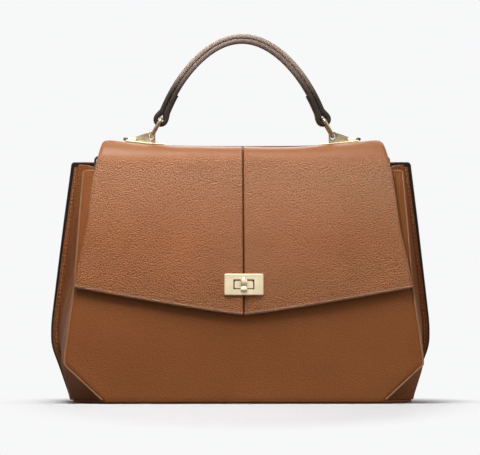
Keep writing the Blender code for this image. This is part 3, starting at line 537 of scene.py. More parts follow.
def wing_half_width(z):
    """The measured outline, averaged over 12 mm of height so that it runs as one curve."""
    spots = np.asarray(z)[..., None] + WING_SPREAD
    shares = np.interp(spots / WING_HEIGHT, WING_HEIGHT_SHARES, WING_WIDTH_SHARES)
    return BACK_HALF_WIDTH * shares.mean(axis=-1)


def wing_edge(p):
    """How near the painted edge a point is: 1 on it, 0 at 5.2 mm, less paint towards the bottom."""
    inwards = wing_half_width(p[:, 2]) - np.abs(p[:, 0])
    on_wing = np.abs(p[:, 0]) > NECK_HALF_WIDTH + NECK_FILLET
    from_top = np.where(on_wing, WING_HEIGHT - p[:, 2], FAR)
    reach = PAINT_REACH * np.interp(p[:, 2], PAINT_HEIGHTS, PAINT_REACH_SHARES)
    return np.clip(1 - np.minimum(inwards / reach, from_top / PAINT_DROP), 0, 1)


# A darker copy of the flap's tan: painted shade on the wings and sides.
body_shaded_finish = pebbled("body_shaded_pebbled_leather", BODY_SHADED_TAN, BODY_SHADED_DEEP, 0.6, 0.15)
z = np.linspace(BACK_FOOT, WING_HEIGHT - WING_CORNER, 120)
turn = np.linspace(0, np.pi / 2, 10)[1:]
corner_x = wing_half_width(WING_HEIGHT) - WING_CORNER
fillet_x = NECK_HALF_WIDTH + NECK_FILLET
right_x = np.concatenate([
    wing_half_width(z), corner_x + WING_CORNER * np.cos(turn), [fillet_x],
    np.linspace(fillet_x - NECK_FILLET_STEP, NECK_HALF_WIDTH, 6),
])
right_z = np.concatenate([
    z, WING_HEIGHT - WING_CORNER + WING_CORNER * np.sin(turn), [WING_HEIGHT + WING_STEP_RISE],
    np.linspace(WING_HEIGHT + NECK_FOOT_RISE, BACK_HEIGHT - GAP, 6),
])
x = crowded(120, 0.9)[None, :] * (right_x - BACK_TRIM)[:, None]
z = right_z[:, None]
wave = BACK_WAVE * np.sin(x * 47 + 1.3) * np.sin(z * 31 + x * 11)
add_sheet(
    "back_leather", places(x, back_y(z) + wave, z), places(x, back_y(z) - PANEL_THICKNESS, z),
    body_shaded_finish, "bag", "tan_leather", ["back_panel"], 0.8, painted=wing_edge,
)


def sewing_thread(name, colour):
    """Waxed thread: its colour varies by a quarter from ply to ply."""
    finish, shader, place = new_finish(name, Roughness=0.6)
    ply = place.noise(PLY_SCALE)
    ply.mix([PLY_SHARE * part for part in colour], colour).into(shader.inputs["Base Color"])
    ply.raise_into(shader, PLY_DEPTH, 0.4)
    return finish


thread_finish = sewing_thread("sewing_thread", THREAD)
dark_thread = sewing_thread("dark_thread", DARK_THREAD)


def add_stitches(name, path, outward, body, finish=thread_finish, radius=STITCH_RADIUS, sink=0.0):
    """A row of oval stitches that lie along a path on a surface whose outward direction is given.

    Each is five rings of six points: centre + t . half length, raised by 0.8 (1 - t squared) . radius,
    for t from -1 to 1, with a ring's own radius as radius . root of (1 - t squared).
    """
    gone = path_lengths(path)
    count = int(gone[-1] / STITCH_PITCH)
    centres = (np.arange(count) + 0.5) * gone[-1] / count
    t = np.array([-1, -0.75, 0, 0.75, 1])
    spots = centres[:, None] + t * STITCH_LENGTH / 2
    middle = np.stack([np.interp(spots, gone, path[:, k]) for k in range(3)], axis=-1)
    lift = unit(np.stack([np.interp(spots, gone, outward[:, k]) for k in range(3)], axis=-1))
    middle += lift * ((1 - t**2) * radius * 0.8 - sink)[None, :, None]
    side = unit(np.cross(np.gradient(middle, axis=1), lift))
    a = full_turn(6)[None, None, :, None]
    reach = (radius * np.sqrt(1 - t**2))[None, :, None, None]
    rings = middle[:, :, None] + reach * (np.cos(a) * side[:, :, None] + np.sin(a) * lift[:, :, None])
    faces = loft_faces(np.arange(rings[..., 0].size).reshape(rings.shape[:3]))
    return add_piece(name, rings, faces, finish, body, "tan_leather")


for word, side in (("left", -1), ("right", 1)):
    z = np.linspace(WING_STITCH_FOOT, WING_HEIGHT - WING_STITCH_DROP, 160)
    x = side * (wing_half_width(z) - WING_STITCH_INSET)
    for face, out in (("front", -1), ("rear", 1)):
        y = back_y(z) if out > 0 else back_y(z) - PANEL_THICKNESS
        outward = np.tile([0.0, out, 0.1], (len(z), 1))
        add_stitches("wing_stitches_" + face + "_" + word, places(x, y, z), outward, "bag")


# Sides: one soft piece of leather each, folded inwards along a crease that leans in towards the top and
# pushed outwards at the bottom, sewn to the front and back panels.
GUSSET_THICKNESS = 0.0018
GUSSET_FRONT_INSET = 0.003
GUSSET_BACK_INSET = 0.006
GUSSET_TOP = 0.2035
GUSSET_TOP_SLOPE = 0.0035
CREST_HALF_WIDTH = 0.158
CREST_HEIGHT_SHARES = (0.0, 0.165, 0.3, 0.5, 0.75, 1.0, 1.05)
CREST_WIDTH_SHARES = (0.94, 1.0, 0.987, 0.93, 0.873, 0.7978, 0.7828)
CREST_FLAT_SHARE = 0.25
CREST_SPREAD = np.linspace(-0.008, 0.008, 9)
CREASE_SHARE = 0.12
GUSSET_WAVE = 0.0006
BASE_THICKNESS = 0.0025


def crest_half_width(z):
    """The crease's measured line, averaged over 16 mm of height."""
    spots = np.asarray(z)[..., None] + CREST_SPREAD
    shares = np.interp(spots / GUSSET_TOP, CREST_HEIGHT_SHARES, CREST_WIDTH_SHARES)
    return CREST_HALF_WIDTH * shares.mean(axis=-1)


across = crowded(90, 0.5)[None, :]
low = BASE_THICKNESS + GAP
z = low + np.linspace(0, 1, 110)[:, None] * (GUSSET_TOP + GUSSET_TOP_SLOPE * across - low)
front_x, back_x = front_half_width(z) - GUSSET_FRONT_INSET, wing_half_width(z) - GUSSET_BACK_INSET
spread = np.clip((np.abs(across) - CREST_FLAT_SHARE) / (1 - CREST_FLAT_SHARE), 0, 1)
spread = spread + CREASE_SHARE * np.sin(2 * np.pi * spread) * np.clip(z / 0.2, 0, 1)
x = crest_half_width(z) + (np.where(across < 0, front_x, back_x) - crest_half_width(z)) * spread
x += GUSSET_WAVE * np.sin(z * 70 + across * 5) * (1 - across**2)
y_front = front_y(x, z) + PANEL_THICKNESS + GAP
y = y_front + (back_y(z) - PANEL_THICKNESS - GAP - y_front) * (across + 1) / 2
for word, side in (("left", -1), ("right", 1)):
    add_sheet(
        "side_leather_" + word, places(side * x, y, z), places(side * (x - GUSSET_THICKNESS), y, z),
        body_shaded_finish, "bag", "tan_leather", ["gusset_" + word],
    )


# Base: a firm leather panel under the sides and, inside on top of it, a plain fibre board that keeps it
# flat.
BASE_FRONT_HALF = 0.120
BASE_MIDDLE_HALF = 0.1475
BASE_BACK_HALF = 0.1445
BASE_HALF_DEPTH = 0.0545
BASE_TRIM = 0.0007
BOARD_GREY = (0.29, 0.27, 0.235)
BOARD_DEEP = (0.21, 0.19, 0.165)
FIBRE_SCALE = 350.0
FIBRE_DEPTH = 0.0003
y = np.linspace(-BASE_HALF_DEPTH, BASE_HALF_DEPTH, 40)[:, None]
corner_y = BASE_HALF_DEPTH * np.array([-1, -CREST_FLAT_SHARE, CREST_FLAT_SHARE, 1])
half = np.interp(y, corner_y, (BASE_FRONT_HALF, BASE_MIDDLE_HALF, BASE_MIDDLE_HALF, BASE_BACK_HALF))
x = crowded(60, 0.6)[None, :] * (half - BASE_TRIM)
add_sheet(
    "base_leather", places(x, y, 0.0), places(x, y, BASE_THICKNESS),
    body_shaded_finish, "bag", "tan_leather", ["base_panel"],
)
board_finish, board_shader, board_place = new_finish("fibre_board", Roughness=0.9)
fibres = board_place.noise(FIBRE_SCALE, 4.0)
fibres.mix(BOARD_DEEP, BOARD_GREY).into(board_shader.inputs["Base Color"])
fibres.raise_into(board_shader, FIBRE_DEPTH, 0.3)
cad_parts["base_board"].data.materials[0] = board_finish


# Lining: an open bag of fine brown twill, sewn at its turned hem to the mouth. It hangs inside the
# leather and ripples a little, because nothing stiffens it.
LINING_INSET = 0.006
LINING_TOP = 0.200
LINING_THICKNESS = 0.001
LINING_FLOOR = 0.0052
LINING_FLOOR_RADIUS = 0.003
LINING_TOP_TRIM = 0.0005
LINING_CORNER_POWER = 0.35
LINING_RIPPLE_SHARE = 0.003
LINING_POINTS = 144
LINING_BROWN = (0.185, 0.115, 0.068)
TWILL_SCALE = 260.0
TWILL_DEPTH = 0.0002
YARN_SCALE = 1800.0


def rounded(part, power):
    """A cosine or sine whose size is raised to a power, which turns a circle towards a square."""
    return np.sign(part) * np.abs(part) ** power


def lining_plan(z, inwards):
    """Rings of a rectangle with rounded corners: half size . rounded cos or sin a, with nine ripples."""
    a = full_turn(LINING_POINTS)[None, :]
    z = np.asarray(z)[:, None]
    half_width = np.minimum(front_half_width(z), crest_half_width(z)) - LINING_INSET - inwards
    front = -front_lean(z) + LINING_INSET + inwards
    back = back_y(z) - LINING_INSET - inwards
    x = half_width * rounded(np.cos(a), LINING_CORNER_POWER)
    y = rounded(np.sin(a), LINING_CORNER_POWER) * (back - front) / 2 + (front + back) / 2
    ripple = LINING_RIPPLE_SHARE * np.sin(9 * a + z * 40) * np.sin(np.pi * z / LINING_TOP)
    return places(x * (1 - ripple), y * (1 - 2 * ripple), z)


z = np.linspace(LINING_FLOOR + LINING_FLOOR_RADIUS, LINING_TOP - LINING_TOP_TRIM, 60)
inner = lining_plan(np.concatenate([[LINING_FLOOR + LINING_THICKNESS], z]), LINING_THICKNESS)
outer = lining_plan(np.concatenate([[LINING_FLOOR], z])[::-1], 0)
hem = lining_plan([LINING_TOP], LINING_THICKNESS / 2)
middle_in = inner[:1].mean(axis=1, keepdims=True)
middle_out = outer[-1:].mean(axis=1, keepdims=True)
shrink = np.array([0.0, 0.5])[:, None, None]
rings = np.concatenate([
    middle_in + (inner[:1] - middle_in) * shrink, inner, hem, outer,
    middle_out + (outer[-1:] - middle_out) * shrink[::-1],
])
lining_finish, lining_shader, lining_place = new_finish(
    "lining_twill", Roughness=0.85, Specular_IOR_Level=0.25
)
lines = lining_place.node(
    "ShaderNodeTexWave", {"bands_direction": "DIAGONAL"},
    {"Vector": lining_place, "Scale": TWILL_SCALE, "Distortion": 0.6, "Detail": 1.0}, 1,
)
weave = lines * 0.6 + lining_place.noise(YARN_SCALE) * 0.4
weave.mix([0.7 * part for part in LINING_BROWN], LINING_BROWN).into(lining_shader.inputs["Base Color"])
weave.raise_into(lining_shader, TWILL_DEPTH, 0.35)
add_rings("lining_bag", rings, lining_finish, "bag", "lining_cloth", ["lining"])


# Flap: two halves of the same leather, turned at their edges and sewn together down the middle, that run
# over the bag's top, round the front bend and down to a shallow V. The bend is ironed smooth.
ROOF_SEAT_HEIGHT = 0.2167
ROOF_HALF_WIDTH = 0.122
ROOF_RISE = 0.007
ROOF_RISE_DEPTH = 0.022
ROOF_EDGE_DROP = 0.002
ROOF_EDGE_SHARE = 0.9
BEND_RADIUS = 0.012
FLAP_START = 0.0033
FLAP_FACE = 0.0057
FLAP_CORNER_HEIGHT = 0.1003
FLAP_CORNER_HALF = 0.147
FLAP_TIP_HEIGHT = 0.0766
FLAP_EDGE_POWER = 1.15
FLAP_HEIGHT_SHARES = (0.456, 0.56, 0.683, 0.801, 0.901, 0.94)
FLAP_WIDTH_SHARES = (1.0, 0.97, 0.928, 0.905, 0.884, 0.866)
HINGE_Y = TOP_DEPTH / 2 + GAP
LEAN = np.arctan((BASE_DEPTH - TOP_DEPTH) / 2 / FRONT_HEIGHT)
BEND_Z = ROOF_SEAT_HEIGHT - BEND_RADIUS
BEND_Y = BEND_RADIUS * np.cos(LEAN) - front_lean(BEND_Z + BEND_RADIUS * np.sin(LEAN))
FLAP_SPREAD = np.linspace(-0.005, 0.005, 9)
FLAP_MIDDLE_HALF = 0.13
FLAP_TRIM = 0.0003
# Painted shade: the colour of the flap's seam fold.
SEAM_SHADE_COLOUR = (0.085, 0.026, 0.013)
SEAM_DIP = 0.0012
SEAM_DIP_WIDTH = 0.0009
SEAM_SWELL = 0.00025
SEAM_SWELL_X = 0.0016
SEAM_SHADE = 0.0012
SEAM_STITCH_X = 0.0022
SIDE_DIP = 0.0013
SIDE_DIP_BAND = 0.0035
EDGE_BAND = 0.008
EDGE_SWELL = 0.00035
EDGE_SWELL_BAND = 0.0022
EDGE_DIP = 0.0006
EDGE_DIP_BAND = 0.0007
EDGE_STITCH = 0.0027
EDGE_STITCH_SINK = 0.0002
GROOVE_DIP = 0.00022
GROOVE_WIDTH = 0.0006
SLACK = 0.0005
SLACK_BAND = 0.02
SLACK_EDGE_BAND = 0.03
EDGE_ROW_SHARES = np.array([
    0.775, 0.6, 0.5, 0.425, 0.375, 0.3375, 0.3, 0.25, 0.1875, 0.125, 0.075, 0.0375, 0,
])
FAR_FROM_EDGE = 0.12


def roof_rise(x):
    """How far the flap's top climbs to its corners: 7 mm . share cubed, its last tenth rounded down."""
    share = np.abs(x) / ROOF_HALF_WIDTH
    past = np.clip((share - ROOF_EDGE_SHARE) / (1 - ROOF_EDGE_SHARE), 0, 1.5)
    return ROOF_RISE * share**3 - ROOF_EDGE_DROP * past**2


def roof_z(x, y, out):
    """The seat's height + out + the rise, which grows over the rear 22 mm and then stays."""
    share = np.clip((HINGE_Y - y) / ROOF_RISE_DEPTH, 0, 1)
    return ROOF_SEAT_HEIGHT + out + roof_rise(x) * share


def flap_half_width(z):
    """The measured outline, averaged over 10 mm of height."""
    spots = np.asarray(z)[..., None] + FLAP_SPREAD
    shares = np.interp(spots / BACK_HEIGHT, FLAP_HEIGHT_SHARES, FLAP_WIDTH_SHARES)
    return FLAP_CORNER_HALF * shares.mean(axis=-1)


def flap_edge_z(corner_share):
    return FLAP_TIP_HEIGHT + (FLAP_CORNER_HEIGHT - FLAP_TIP_HEIGHT) * np.abs(corner_share) ** FLAP_EDGE_POWER


def bell(distance, width):
    """A bell curve, exp(-(distance / width) squared)."""
    return np.exp(-((distance / width) ** 2))


def near(distance, band):
    """1 at a line, falling evenly to 0 at the band's far side."""
    return np.clip(1 - distance / band, 0, 1)


def flap_relief(x, side_gap, edge_gap):
    """How far the face stands off its plain depth: edges turned under, a seam drawn in, a sewn edge.

    The turned edges fall by the square of their nearness, the seam and the stitches' groove by bell
    curves, and away from them the face has a slow swell of two crossed sines.
    """
    dips = SEAM_DIP * bell(x, SEAM_DIP_WIDTH) + SIDE_DIP * near(side_gap, SIDE_DIP_BAND) ** 2
    dips = dips + EDGE_DIP * near(edge_gap, EDGE_DIP_BAND) ** 2
    dips = dips + GROOVE_DIP * bell(edge_gap - EDGE_STITCH, GROOVE_WIDTH)
    swells = SEAM_SWELL * bell(np.abs(x) - SEAM_SWELL_X, SEAM_DIP_WIDTH)
    swells = swells + EDGE_SWELL * near(edge_gap, EDGE_SWELL_BAND) ** 0.5
    slack = SLACK * np.sin(x * 38 + 0.6) * np.sin(edge_gap * 33 + x * 14)
    for gap, band in ((edge_gap, SLACK_EDGE_BAND), (np.abs(x), SLACK_BAND), (side_gap, SLACK_BAND)):
        slack = slack * np.clip(gap / band, 0, 1)
    return swells - dips + slack


def flap_grid(shares, out, rear_y, trim, relief=1):
    """Rows from the hinge forward over the top, a quarter turn round the bend, then down the front.

    shares run across, from -1 to 1. The rows down the front are even, and close together near the edge.
    relief is the share of flap_relief that the grid takes.
    """
    rows = []
    for y in np.linspace(rear_y, BEND_Y, 26):
        x = shares * (ROOF_HALF_WIDTH - trim)
        lift = relief * flap_relief(x, (1 - np.abs(shares)) * ROOF_HALF_WIDTH, FAR_FROM_EDGE)
        rows.append(places(x, y, roof_z(x, y, out + lift)))
    start_z = BEND_Z + (BEND_RADIUS + out) * np.sin(LEAN)
    start_half = flap_half_width(start_z)
    for step in np.linspace(0, 1, 20)[1:]:
        half = ROOF_HALF_WIDTH + (start_half - ROOF_HALF_WIDTH) * step
        x = shares * (half - trim)
        lift = relief * flap_relief(x, (1 - np.abs(shares)) * half, FAR_FROM_EDGE)
        radius = BEND_RADIUS + out + lift
        a = np.pi / 2 + step * (LEAN - np.pi / 2)
        z = BEND_Z + radius * np.sin(a) + roof_rise(x) * (1 - step) ** 2
        rows.append(places(x, BEND_Y - radius * np.cos(a), z))
    edge_z = flap_edge_z(shares * (FLAP_CORNER_HALF - trim) / FLAP_CORNER_HALF) + trim
    even = [(share, EDGE_BAND) for share in np.linspace(1, 0, 72)[1:]]
    for share, above in even + [(0, above) for above in EDGE_BAND * EDGE_ROW_SHARES]:
        z = edge_z + above + share * (start_z - edge_z - EDGE_BAND)
        half = flap_half_width(z)
        x = shares * (half - trim)
        lift = relief * flap_relief(x, (1 - np.abs(shares)) * half, z - edge_z)
        rows.append(places(x, front_y(x, z) - (out + lift) / np.cos(LEAN), z))
    return np.stack(rows)


LOCK_HEIGHT = 0.1017
LOCK_CLEAR = 0.0105
SLOT_WIDTH = 0.017
SLOT_HEIGHT = 0.0076
SLOT_CORNER = 0.0015
SLOT_REACH = 0.009
TIP_CLEAR = 0.003
LOCK_CENTRE = np.array([0.0, front_y(0.0, LOCK_HEIGHT), LOCK_HEIGHT])
LOCK_AXES = np.array([[1, 0, 0], [0, np.sin(LEAN), np.cos(LEAN)], [0, -np.cos(LEAN), np.sin(LEAN)]])


def by_lock(across, up, out):
    """Places measured from the lock along the front's face, across and up, and out from it."""
    return LOCK_CENTRE + places(across, up, out) @ LOCK_AXES


def oblong(width, height, corner, count=12):
    """A rectangle's outline with quarter-circle corners, anticlockwise, as two rows: across and up."""
    turn = np.linspace(0, np.pi / 2, count)[None, :] + np.arange(4)[:, None] * np.pi / 2
    across = (np.array([1, -1, -1, 1]) * (width / 2 - corner))[:, None] + corner * np.cos(turn)
    up = (np.array([1, 1, -1, -1]) * (height / 2 - corner))[:, None] + corner * np.sin(turn)
    return across.ravel(), up.ravel()


def cut_slot(piece):
    """Cuts the lock's slot through a piece with an exact boolean, and leaves no tool or modifier."""
    across, up = oblong(SLOT_WIDTH, SLOT_HEIGHT, SLOT_CORNER)
    loops = np.arange(2 * len(across)).reshape(2, -1)
    points = np.concatenate([by_lock(across, up, 0.0), by_lock(across, up, SLOT_REACH)])
    mesh = bpy.data.meshes.new("slot_tool")
    ends = [loops[0].tolist(), loops[1, ::-1].tolist()]
    mesh.from_pydata(points.tolist(), [], loft_faces(loops).tolist() + ends)
    work = bmesh.new()
    work.from_mesh(mesh)
    bmesh.ops.recalc_face_normals(work, faces=work.faces)
    work.to_mesh(mesh)
    work.free()
    tool = bpy.data.objects.new("slot_tool", mesh)
    bpy.context.scene.collection.objects.link(tool)
    change = piece.modifiers.new("slot", "BOOLEAN")
    change.object, change.solver, change.operation = tool, "EXACT", "DIFFERENCE"
    depsgraph = bpy.context.evaluated_depsgraph_get()
    done = bpy.data.meshes.new_from_object(piece.evaluated_get(depsgraph))
    piece.modifiers.clear()
    piece.data = done
    bpy.data.objects.remove(tool)


IRONED_FOOT = 0.2045
IRONED_BAND = 0.014
IRONED_REAR = 0.010
IRONED_REAR_BAND = 0.012
# Painted shade above the lock: how strong and how wide the darkened patch is.
LOCK_SHADE_SHARE = 0.45
LOCK_SHADE_HALF_WIDTH = 0.038
LOCK_SHADE_HALF_HEIGHT = 0.030
LOCK_SHADE_Z = 0.128
PALE_EDGE_HEIGHT = 0.0024
PALE_EDGE_BAND = 0.002
FRONT_ONLY_Y = -0.03
# Painted sheen: how strong it is, and the heights it rises and falls over on the flap's front.
PAINTED_SHEEN_SHARE = 0.36
PAINTED_SHEEN_FOOT = 0.140
PAINTED_SHEEN_BAND = 0.055
PAINTED_SHEEN_TOP = 0.214
PAINTED_SHEEN_TOP_BAND = 0.008


def ironed_bend_and_lock_shade(p):
    """1 along the front bend, fading out over 14 mm below it and over 12 mm of the top behind it.

    Above the lock the grain is pressed too and the colour darkened, by 0.45 of a bell curve across
    times one upwards: the darkening is painted shade of a shallow dip there.
    """
    share = np.clip((p[:, 2] - IRONED_FOOT) / IRONED_BAND, 0, 1)
    rear = np.clip((BEND_Y + IRONED_REAR - p[:, 1]) / IRONED_REAR_BAND, 0, 1)
    above_lock = bell(p[:, 2] - LOCK_SHADE_Z, LOCK_SHADE_HALF_HEIGHT)
    pressed = LOCK_SHADE_SHARE * bell(p[:, 0], LOCK_SHADE_HALF_WIDTH) * above_lock
    return np.maximum(share**2 * (3 - 2 * share) * rear, pressed)


def pale_edge_and_sheen_share(p):
    """1 on the flap's lower edge, which is paler, falling to 0 at 2.4 mm above it. Up the front it rises
    to 0.36 where it nears the bend, a painted sheen that pales the domes there.
    """
    share = np.clip(p[:, 0] / flap_half_width(p[:, 2]), -1, 1)
    edge = np.clip((PALE_EDGE_HEIGHT - (p[:, 2] - flap_edge_z(share))) / PALE_EDGE_BAND, 0, 1)
    risen = np.clip((p[:, 2] - PAINTED_SHEEN_FOOT) / PAINTED_SHEEN_BAND, 0, 1)
    upper = PAINTED_SHEEN_SHARE * risen * np.clip((PAINTED_SHEEN_TOP - p[:, 2]) / PAINTED_SHEEN_TOP_BAND, 0, 1)
    return np.where(p[:, 1] < FRONT_ONLY_Y, np.maximum(edge, upper), upper)


def seam_shade_share(p):
    """1 in the seam's fold, falling to 0 at 1.2 mm from it, where it paints the fold's shade."""
    return near(np.abs(p[:, 0]), SEAM_SHADE)


SEAM_COLUMNS = np.array([0.0001, 0.0003, 0.0006, 0.0009, 0.0012, 0.0016, 0.0020, 0.0024, 0.0030, 0.0040])
shares = np.concatenate([
    SEAM_COLUMNS / FLAP_MIDDLE_HALF, np.linspace(0.045, 0.965, 56),
    1 - 0.03 * np.linspace(1, 0, 10)[1:] ** 1.3,
])
flap_finish = pebbled("flap_pebbled_leather", relief=1.1, sheen=0.45, dark=SEAM_SHADE_COLOUR)
for word, side in (("left", -1), ("right", 1)):
    half = add_sheet(
        "flap_leather_" + word, flap_grid(side * shares, FLAP_FACE, TOP_DEPTH / 2, FLAP_TRIM),
        flap_grid(side * shares, FLAP_START, TOP_DEPTH / 2, FLAP_TRIM, 0),
        flap_finish, "flap", "tan_leather", ["flap_" + word], 0.7, ironed=ironed_bend_and_lock_shade, painted=seam_shade_share,
        worn=pale_edge_and_sheen_share,
    )
    cut_slot(half)
    column = flap_grid(np.array([side * SEAM_STITCH_X / FLAP_MIDDLE_HALF]), FLAP_FACE, TOP_DEPTH / 2, 0, 0)
    run = column[2:, 0] * (0, 1, 1) + (side * SEAM_STITCH_X, 0, 0)
    normal = np.cross(np.gradient(run, axis=0), [-1.0, 0, 0])
    from_lock = run[:, 2] - LOCK_HEIGHT
    low = (from_lock < -LOCK_CLEAR) & (run[:, 2] > FLAP_TIP_HEIGHT + TIP_CLEAR)
    for part, keep in (("upper", from_lock > LOCK_CLEAR), ("lower", low)):
        add_stitches("seam_stitches_" + part + "_" + word, run[keep], normal[keep], "flap", dark_thread)
    share = np.linspace(0.02, 0.985, 120)
    z = flap_edge_z(share) + EDGE_STITCH
    x = side * share * flap_half_width(z)
    y = front_y(x, z) - (FLAP_FACE - EDGE_STITCH_SINK) / np.cos(LEAN)
    add_stitches("edge_stitches_" + word, places(x, y, z), np.tile(LOCK_AXES[2], (len(z), 1)), "flap")


# Flap lining: one sheet of the same brown twill, glued to the back of both halves. It ends 3 mm inside
# their edges, and its slot lets the lock's boss through.
FLAP_LINING_FACE = 0.0020
FLAP_LINING_BACK = 0.0030
FLAP_LINING_TRIM = 0.003
whole = np.linspace(-1, 1, 79)
rear = TOP_DEPTH / 2 - PANEL_THICKNESS - 2 * GAP
cut_slot(add_sheet(
    "flap_lining_cloth", flap_grid(whole, FLAP_LINING_BACK, rear, FLAP_LINING_TRIM, 0),
    flap_grid(whole, FLAP_LINING_FACE, rear, FLAP_LINING_TRIM, 0),
    lining_finish, "flap", "lining_cloth", ["flap_lining"],
))


# Hinge: the back's leather runs on into the flap over the top rear edge, as one thin strip that is
# glued down at both ends. It is drawn in its closed shape, on no body.
HINGE_BEND = 0.0035
HINGE_TRIM = 0.0008
HINGE_STAND_OFF = 0.0007
HINGE_FACE = 0.0011
HINGE_BACK = 0.0002
HINGE_FOOT = 0.2095
HINGE_FRONT_Y = 0.016
HINGE_IRONED = 0.3


def hinge_grid(out):
    """Up the back's face, a quarter circle over its top edge, then forward along the flap's top."""
    x = np.linspace(-1, 1, 60)[None, :] * (NECK_HALF_WIDTH - HINGE_TRIM)
    bend_z = ROOF_SEAT_HEIGHT + FLAP_FACE - HINGE_BEND
    bend_y = TOP_DEPTH / 2 + HINGE_STAND_OFF - HINGE_BEND
    low_z = np.linspace(HINGE_FOOT, bend_z, 12)[:, None]
    turn = np.linspace(0, np.pi / 2, 14)[1:, None]
    ahead = np.linspace(bend_y, HINGE_FRONT_Y, 12)[1:, None]
    radius = HINGE_BEND + out
    return np.concatenate([
        places(x, np.maximum(back_y(low_z), bend_y + HINGE_BEND) + out, low_z),
        places(x, bend_y + radius * np.cos(turn), bend_z + radius * np.sin(turn)),
        places(x, ahead, roof_z(x, ahead, FLAP_FACE + out)),
    ])


strip = add_sheet(
    "hinge_leather", hinge_grid(HINGE_FACE), hinge_grid(HINGE_BACK), body_shaded_finish, None, "tan_leather",
    rim=0.8, ironed=HINGE_IRONED,
)
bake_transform(strip)


# Turn lock: pale gold plated brass. A bevelled plate frames the slot on the flap, and a frame behind the
# lining clamps it. The base's boss stands through the slot and carries the knob on a round stem.
GOLD = (0.86, 0.73, 0.51)
GOLD_DEEP = (0.72, 0.59, 0.39)
# Painted shade: the dark colour inside the lock's slot.
SLOT_SHADE_COLOUR = (0.018, 0.012, 0.008)
LOCK_PLATE_WIDTH = 0.0339
LOCK_PLATE_HEIGHT = 0.0189
PLATE_THICKNESS = 0.0015
PLATE_START = FLAP_FACE + GAP
PLATE_END = PLATE_START + PLATE_THICKNESS
PLATE_FOOT_INSET = 0.0002
PLATE_BEVEL = 0.0008
PLATE_CORNER = 0.0012
LEAST_CORNER = 0.0003
PLATE_FLAT_STEPS = (0.0002, 0.0005)
SLOT_RIM = ((0, 0.0010), (0, 0.0007), (0.0001, 0.0004), (0.0002, 0.0001), (0.0005, 0), (PLATE_THICKNESS, 0))
SLOT_SHADE_REACH = 0.0005
SHEEN_SCALE = 90.0
POLISH_SCALE = 2400.0
POLISH_DEPTH = 0.0001


def plated(name, light=GOLD, deep=GOLD_DEEP, gloss=0.30):
    """Satin gold plating: a metal whose sheen varies softly, with faint polishing marks.

    The attribute recess is 1 where painted shade darkens the lock's slot.
    """
    finish, shader, place = new_finish(name, Metallic=1.0)
    cloud = place.noise(SHEEN_SCALE, 3.0)
    marks = place.noise(POLISH_SCALE)
    metal = cloud.step(0.2, 0.9).mix(deep, light)
    place.mark("recess").mix(metal, SLOT_SHADE_COLOUR).into(shader.inputs["Base Color"])
    (gloss + 0.10 * cloud + 0.02 * marks).into(shader.inputs["Roughness"])
    marks.raise_into(shader, POLISH_DEPTH, 0.12)
    return finish


def slot_shade_share(p):
    """1 on the slot's own walls and rim, 0 elsewhere on the plate: where the slot's shade is painted."""
    across, up, _ = np.abs((p - LOCK_CENTRE) @ LOCK_AXES.T).T
    return (across < SLOT_WIDTH / 2 + SLOT_SHADE_REACH) & (up < SLOT_HEIGHT / 2 + SLOT_SHADE_REACH)


gold = plated("pale_gold_plating", gloss=0.36)
turn = np.linspace(0, np.pi / 2, 7)
bevel = zip(PLATE_END - PLATE_BEVEL * (1 - np.sin(turn)), PLATE_BEVEL * (1 - np.cos(turn)))
flat = [(PLATE_END, PLATE_BEVEL + step) for step in PLATE_FLAT_STEPS]
rings = []
for out, inwards in [(PLATE_START, PLATE_FOOT_INSET), *bevel, *flat]:
    width, height = LOCK_PLATE_WIDTH - 2 * inwards, LOCK_PLATE_HEIGHT - 2 * inwards
    rings.append(by_lock(*oblong(width, height, max(PLATE_CORNER - inwards, LEAST_CORNER)), out))
for depth, spare in SLOT_RIM:
    rim = oblong(SLOT_WIDTH + 2 * spare, SLOT_HEIGHT + 2 * spare, SLOT_CORNER)
    rings.append(by_lock(*rim, PLATE_END - depth))
add_rings("lock_bezel", rings, gold, "flap", "pale_gold", ["lock_plate"], "joined", recess=slot_shade_share)
for node in ("lock_back_frame", "lock_base", "lock_washer"):
    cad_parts[node].data.materials[0] = gold


# Knob: a cast bar with a full round upper end, a narrow waist and a squared lower end, on a round stem
# that turns in the lock's boss.
KNOB_WIDTH = 0.0060
KNOB_HEIGHT = 0.0126
KNOB_DEPTH = 0.0042
KNOB_CLEAR = 0.0004
STEM_RADIUS = 0.0015
STEM_CHAMFER = 0.0001
STEM_FOOT = 0.0018
STEM_CHAMFER_HEIGHT = 0.0002
KNOB_SHARES = (
    (-1.0, 0.0, 0.32), (-0.985, 0.8, 0.32), (-0.95, 0.9, 0.32), (-0.88, 0.94, 0.32), (-0.6, 0.94, 0.32),
    (-0.52, 0.88, 0.45), (-0.46, 0.74, 0.6), (-0.4, 0.6, 0.8), (-0.3, 0.58, 0.95), (-0.2, 0.68, 1.0),
    (-0.08, 0.84, 1.0), (0.1, 0.96, 1.0), (0.3, 1.0, 1.0), (0.5, 0.98, 1.0), (0.7, 0.86, 1.0),
    (0.85, 0.66, 1.0), (0.94, 0.43, 1.0), (0.985, 0.2, 1.0), (1.0, 0.0, 1.0),
)
up, swell, power = np.array(KNOB_SHARES).T[:, :, None]
a = full_turn(40)
across = KNOB_WIDTH / 2 * swell * rounded(np.cos(a), power)
out = KNOB_DEPTH / 2 * swell * rounded(np.sin(a), power)
middle = PLATE_END + KNOB_CLEAR + KNOB_DEPTH / 2
grip = by_lock(across, up * KNOB_HEIGHT / 2, out + middle)
add_rings("knob_grip", grip, gold, "knob", "pale_gold", ["turn_knob"])
a = full_turn(24)
reach = np.array([0, STEM_RADIUS - STEM_CHAMFER, STEM_RADIUS, STEM_RADIUS, 0])[:, None]
out = np.array([STEM_FOOT, STEM_FOOT, STEM_FOOT + STEM_CHAMFER_HEIGHT, middle, middle])[:, None]
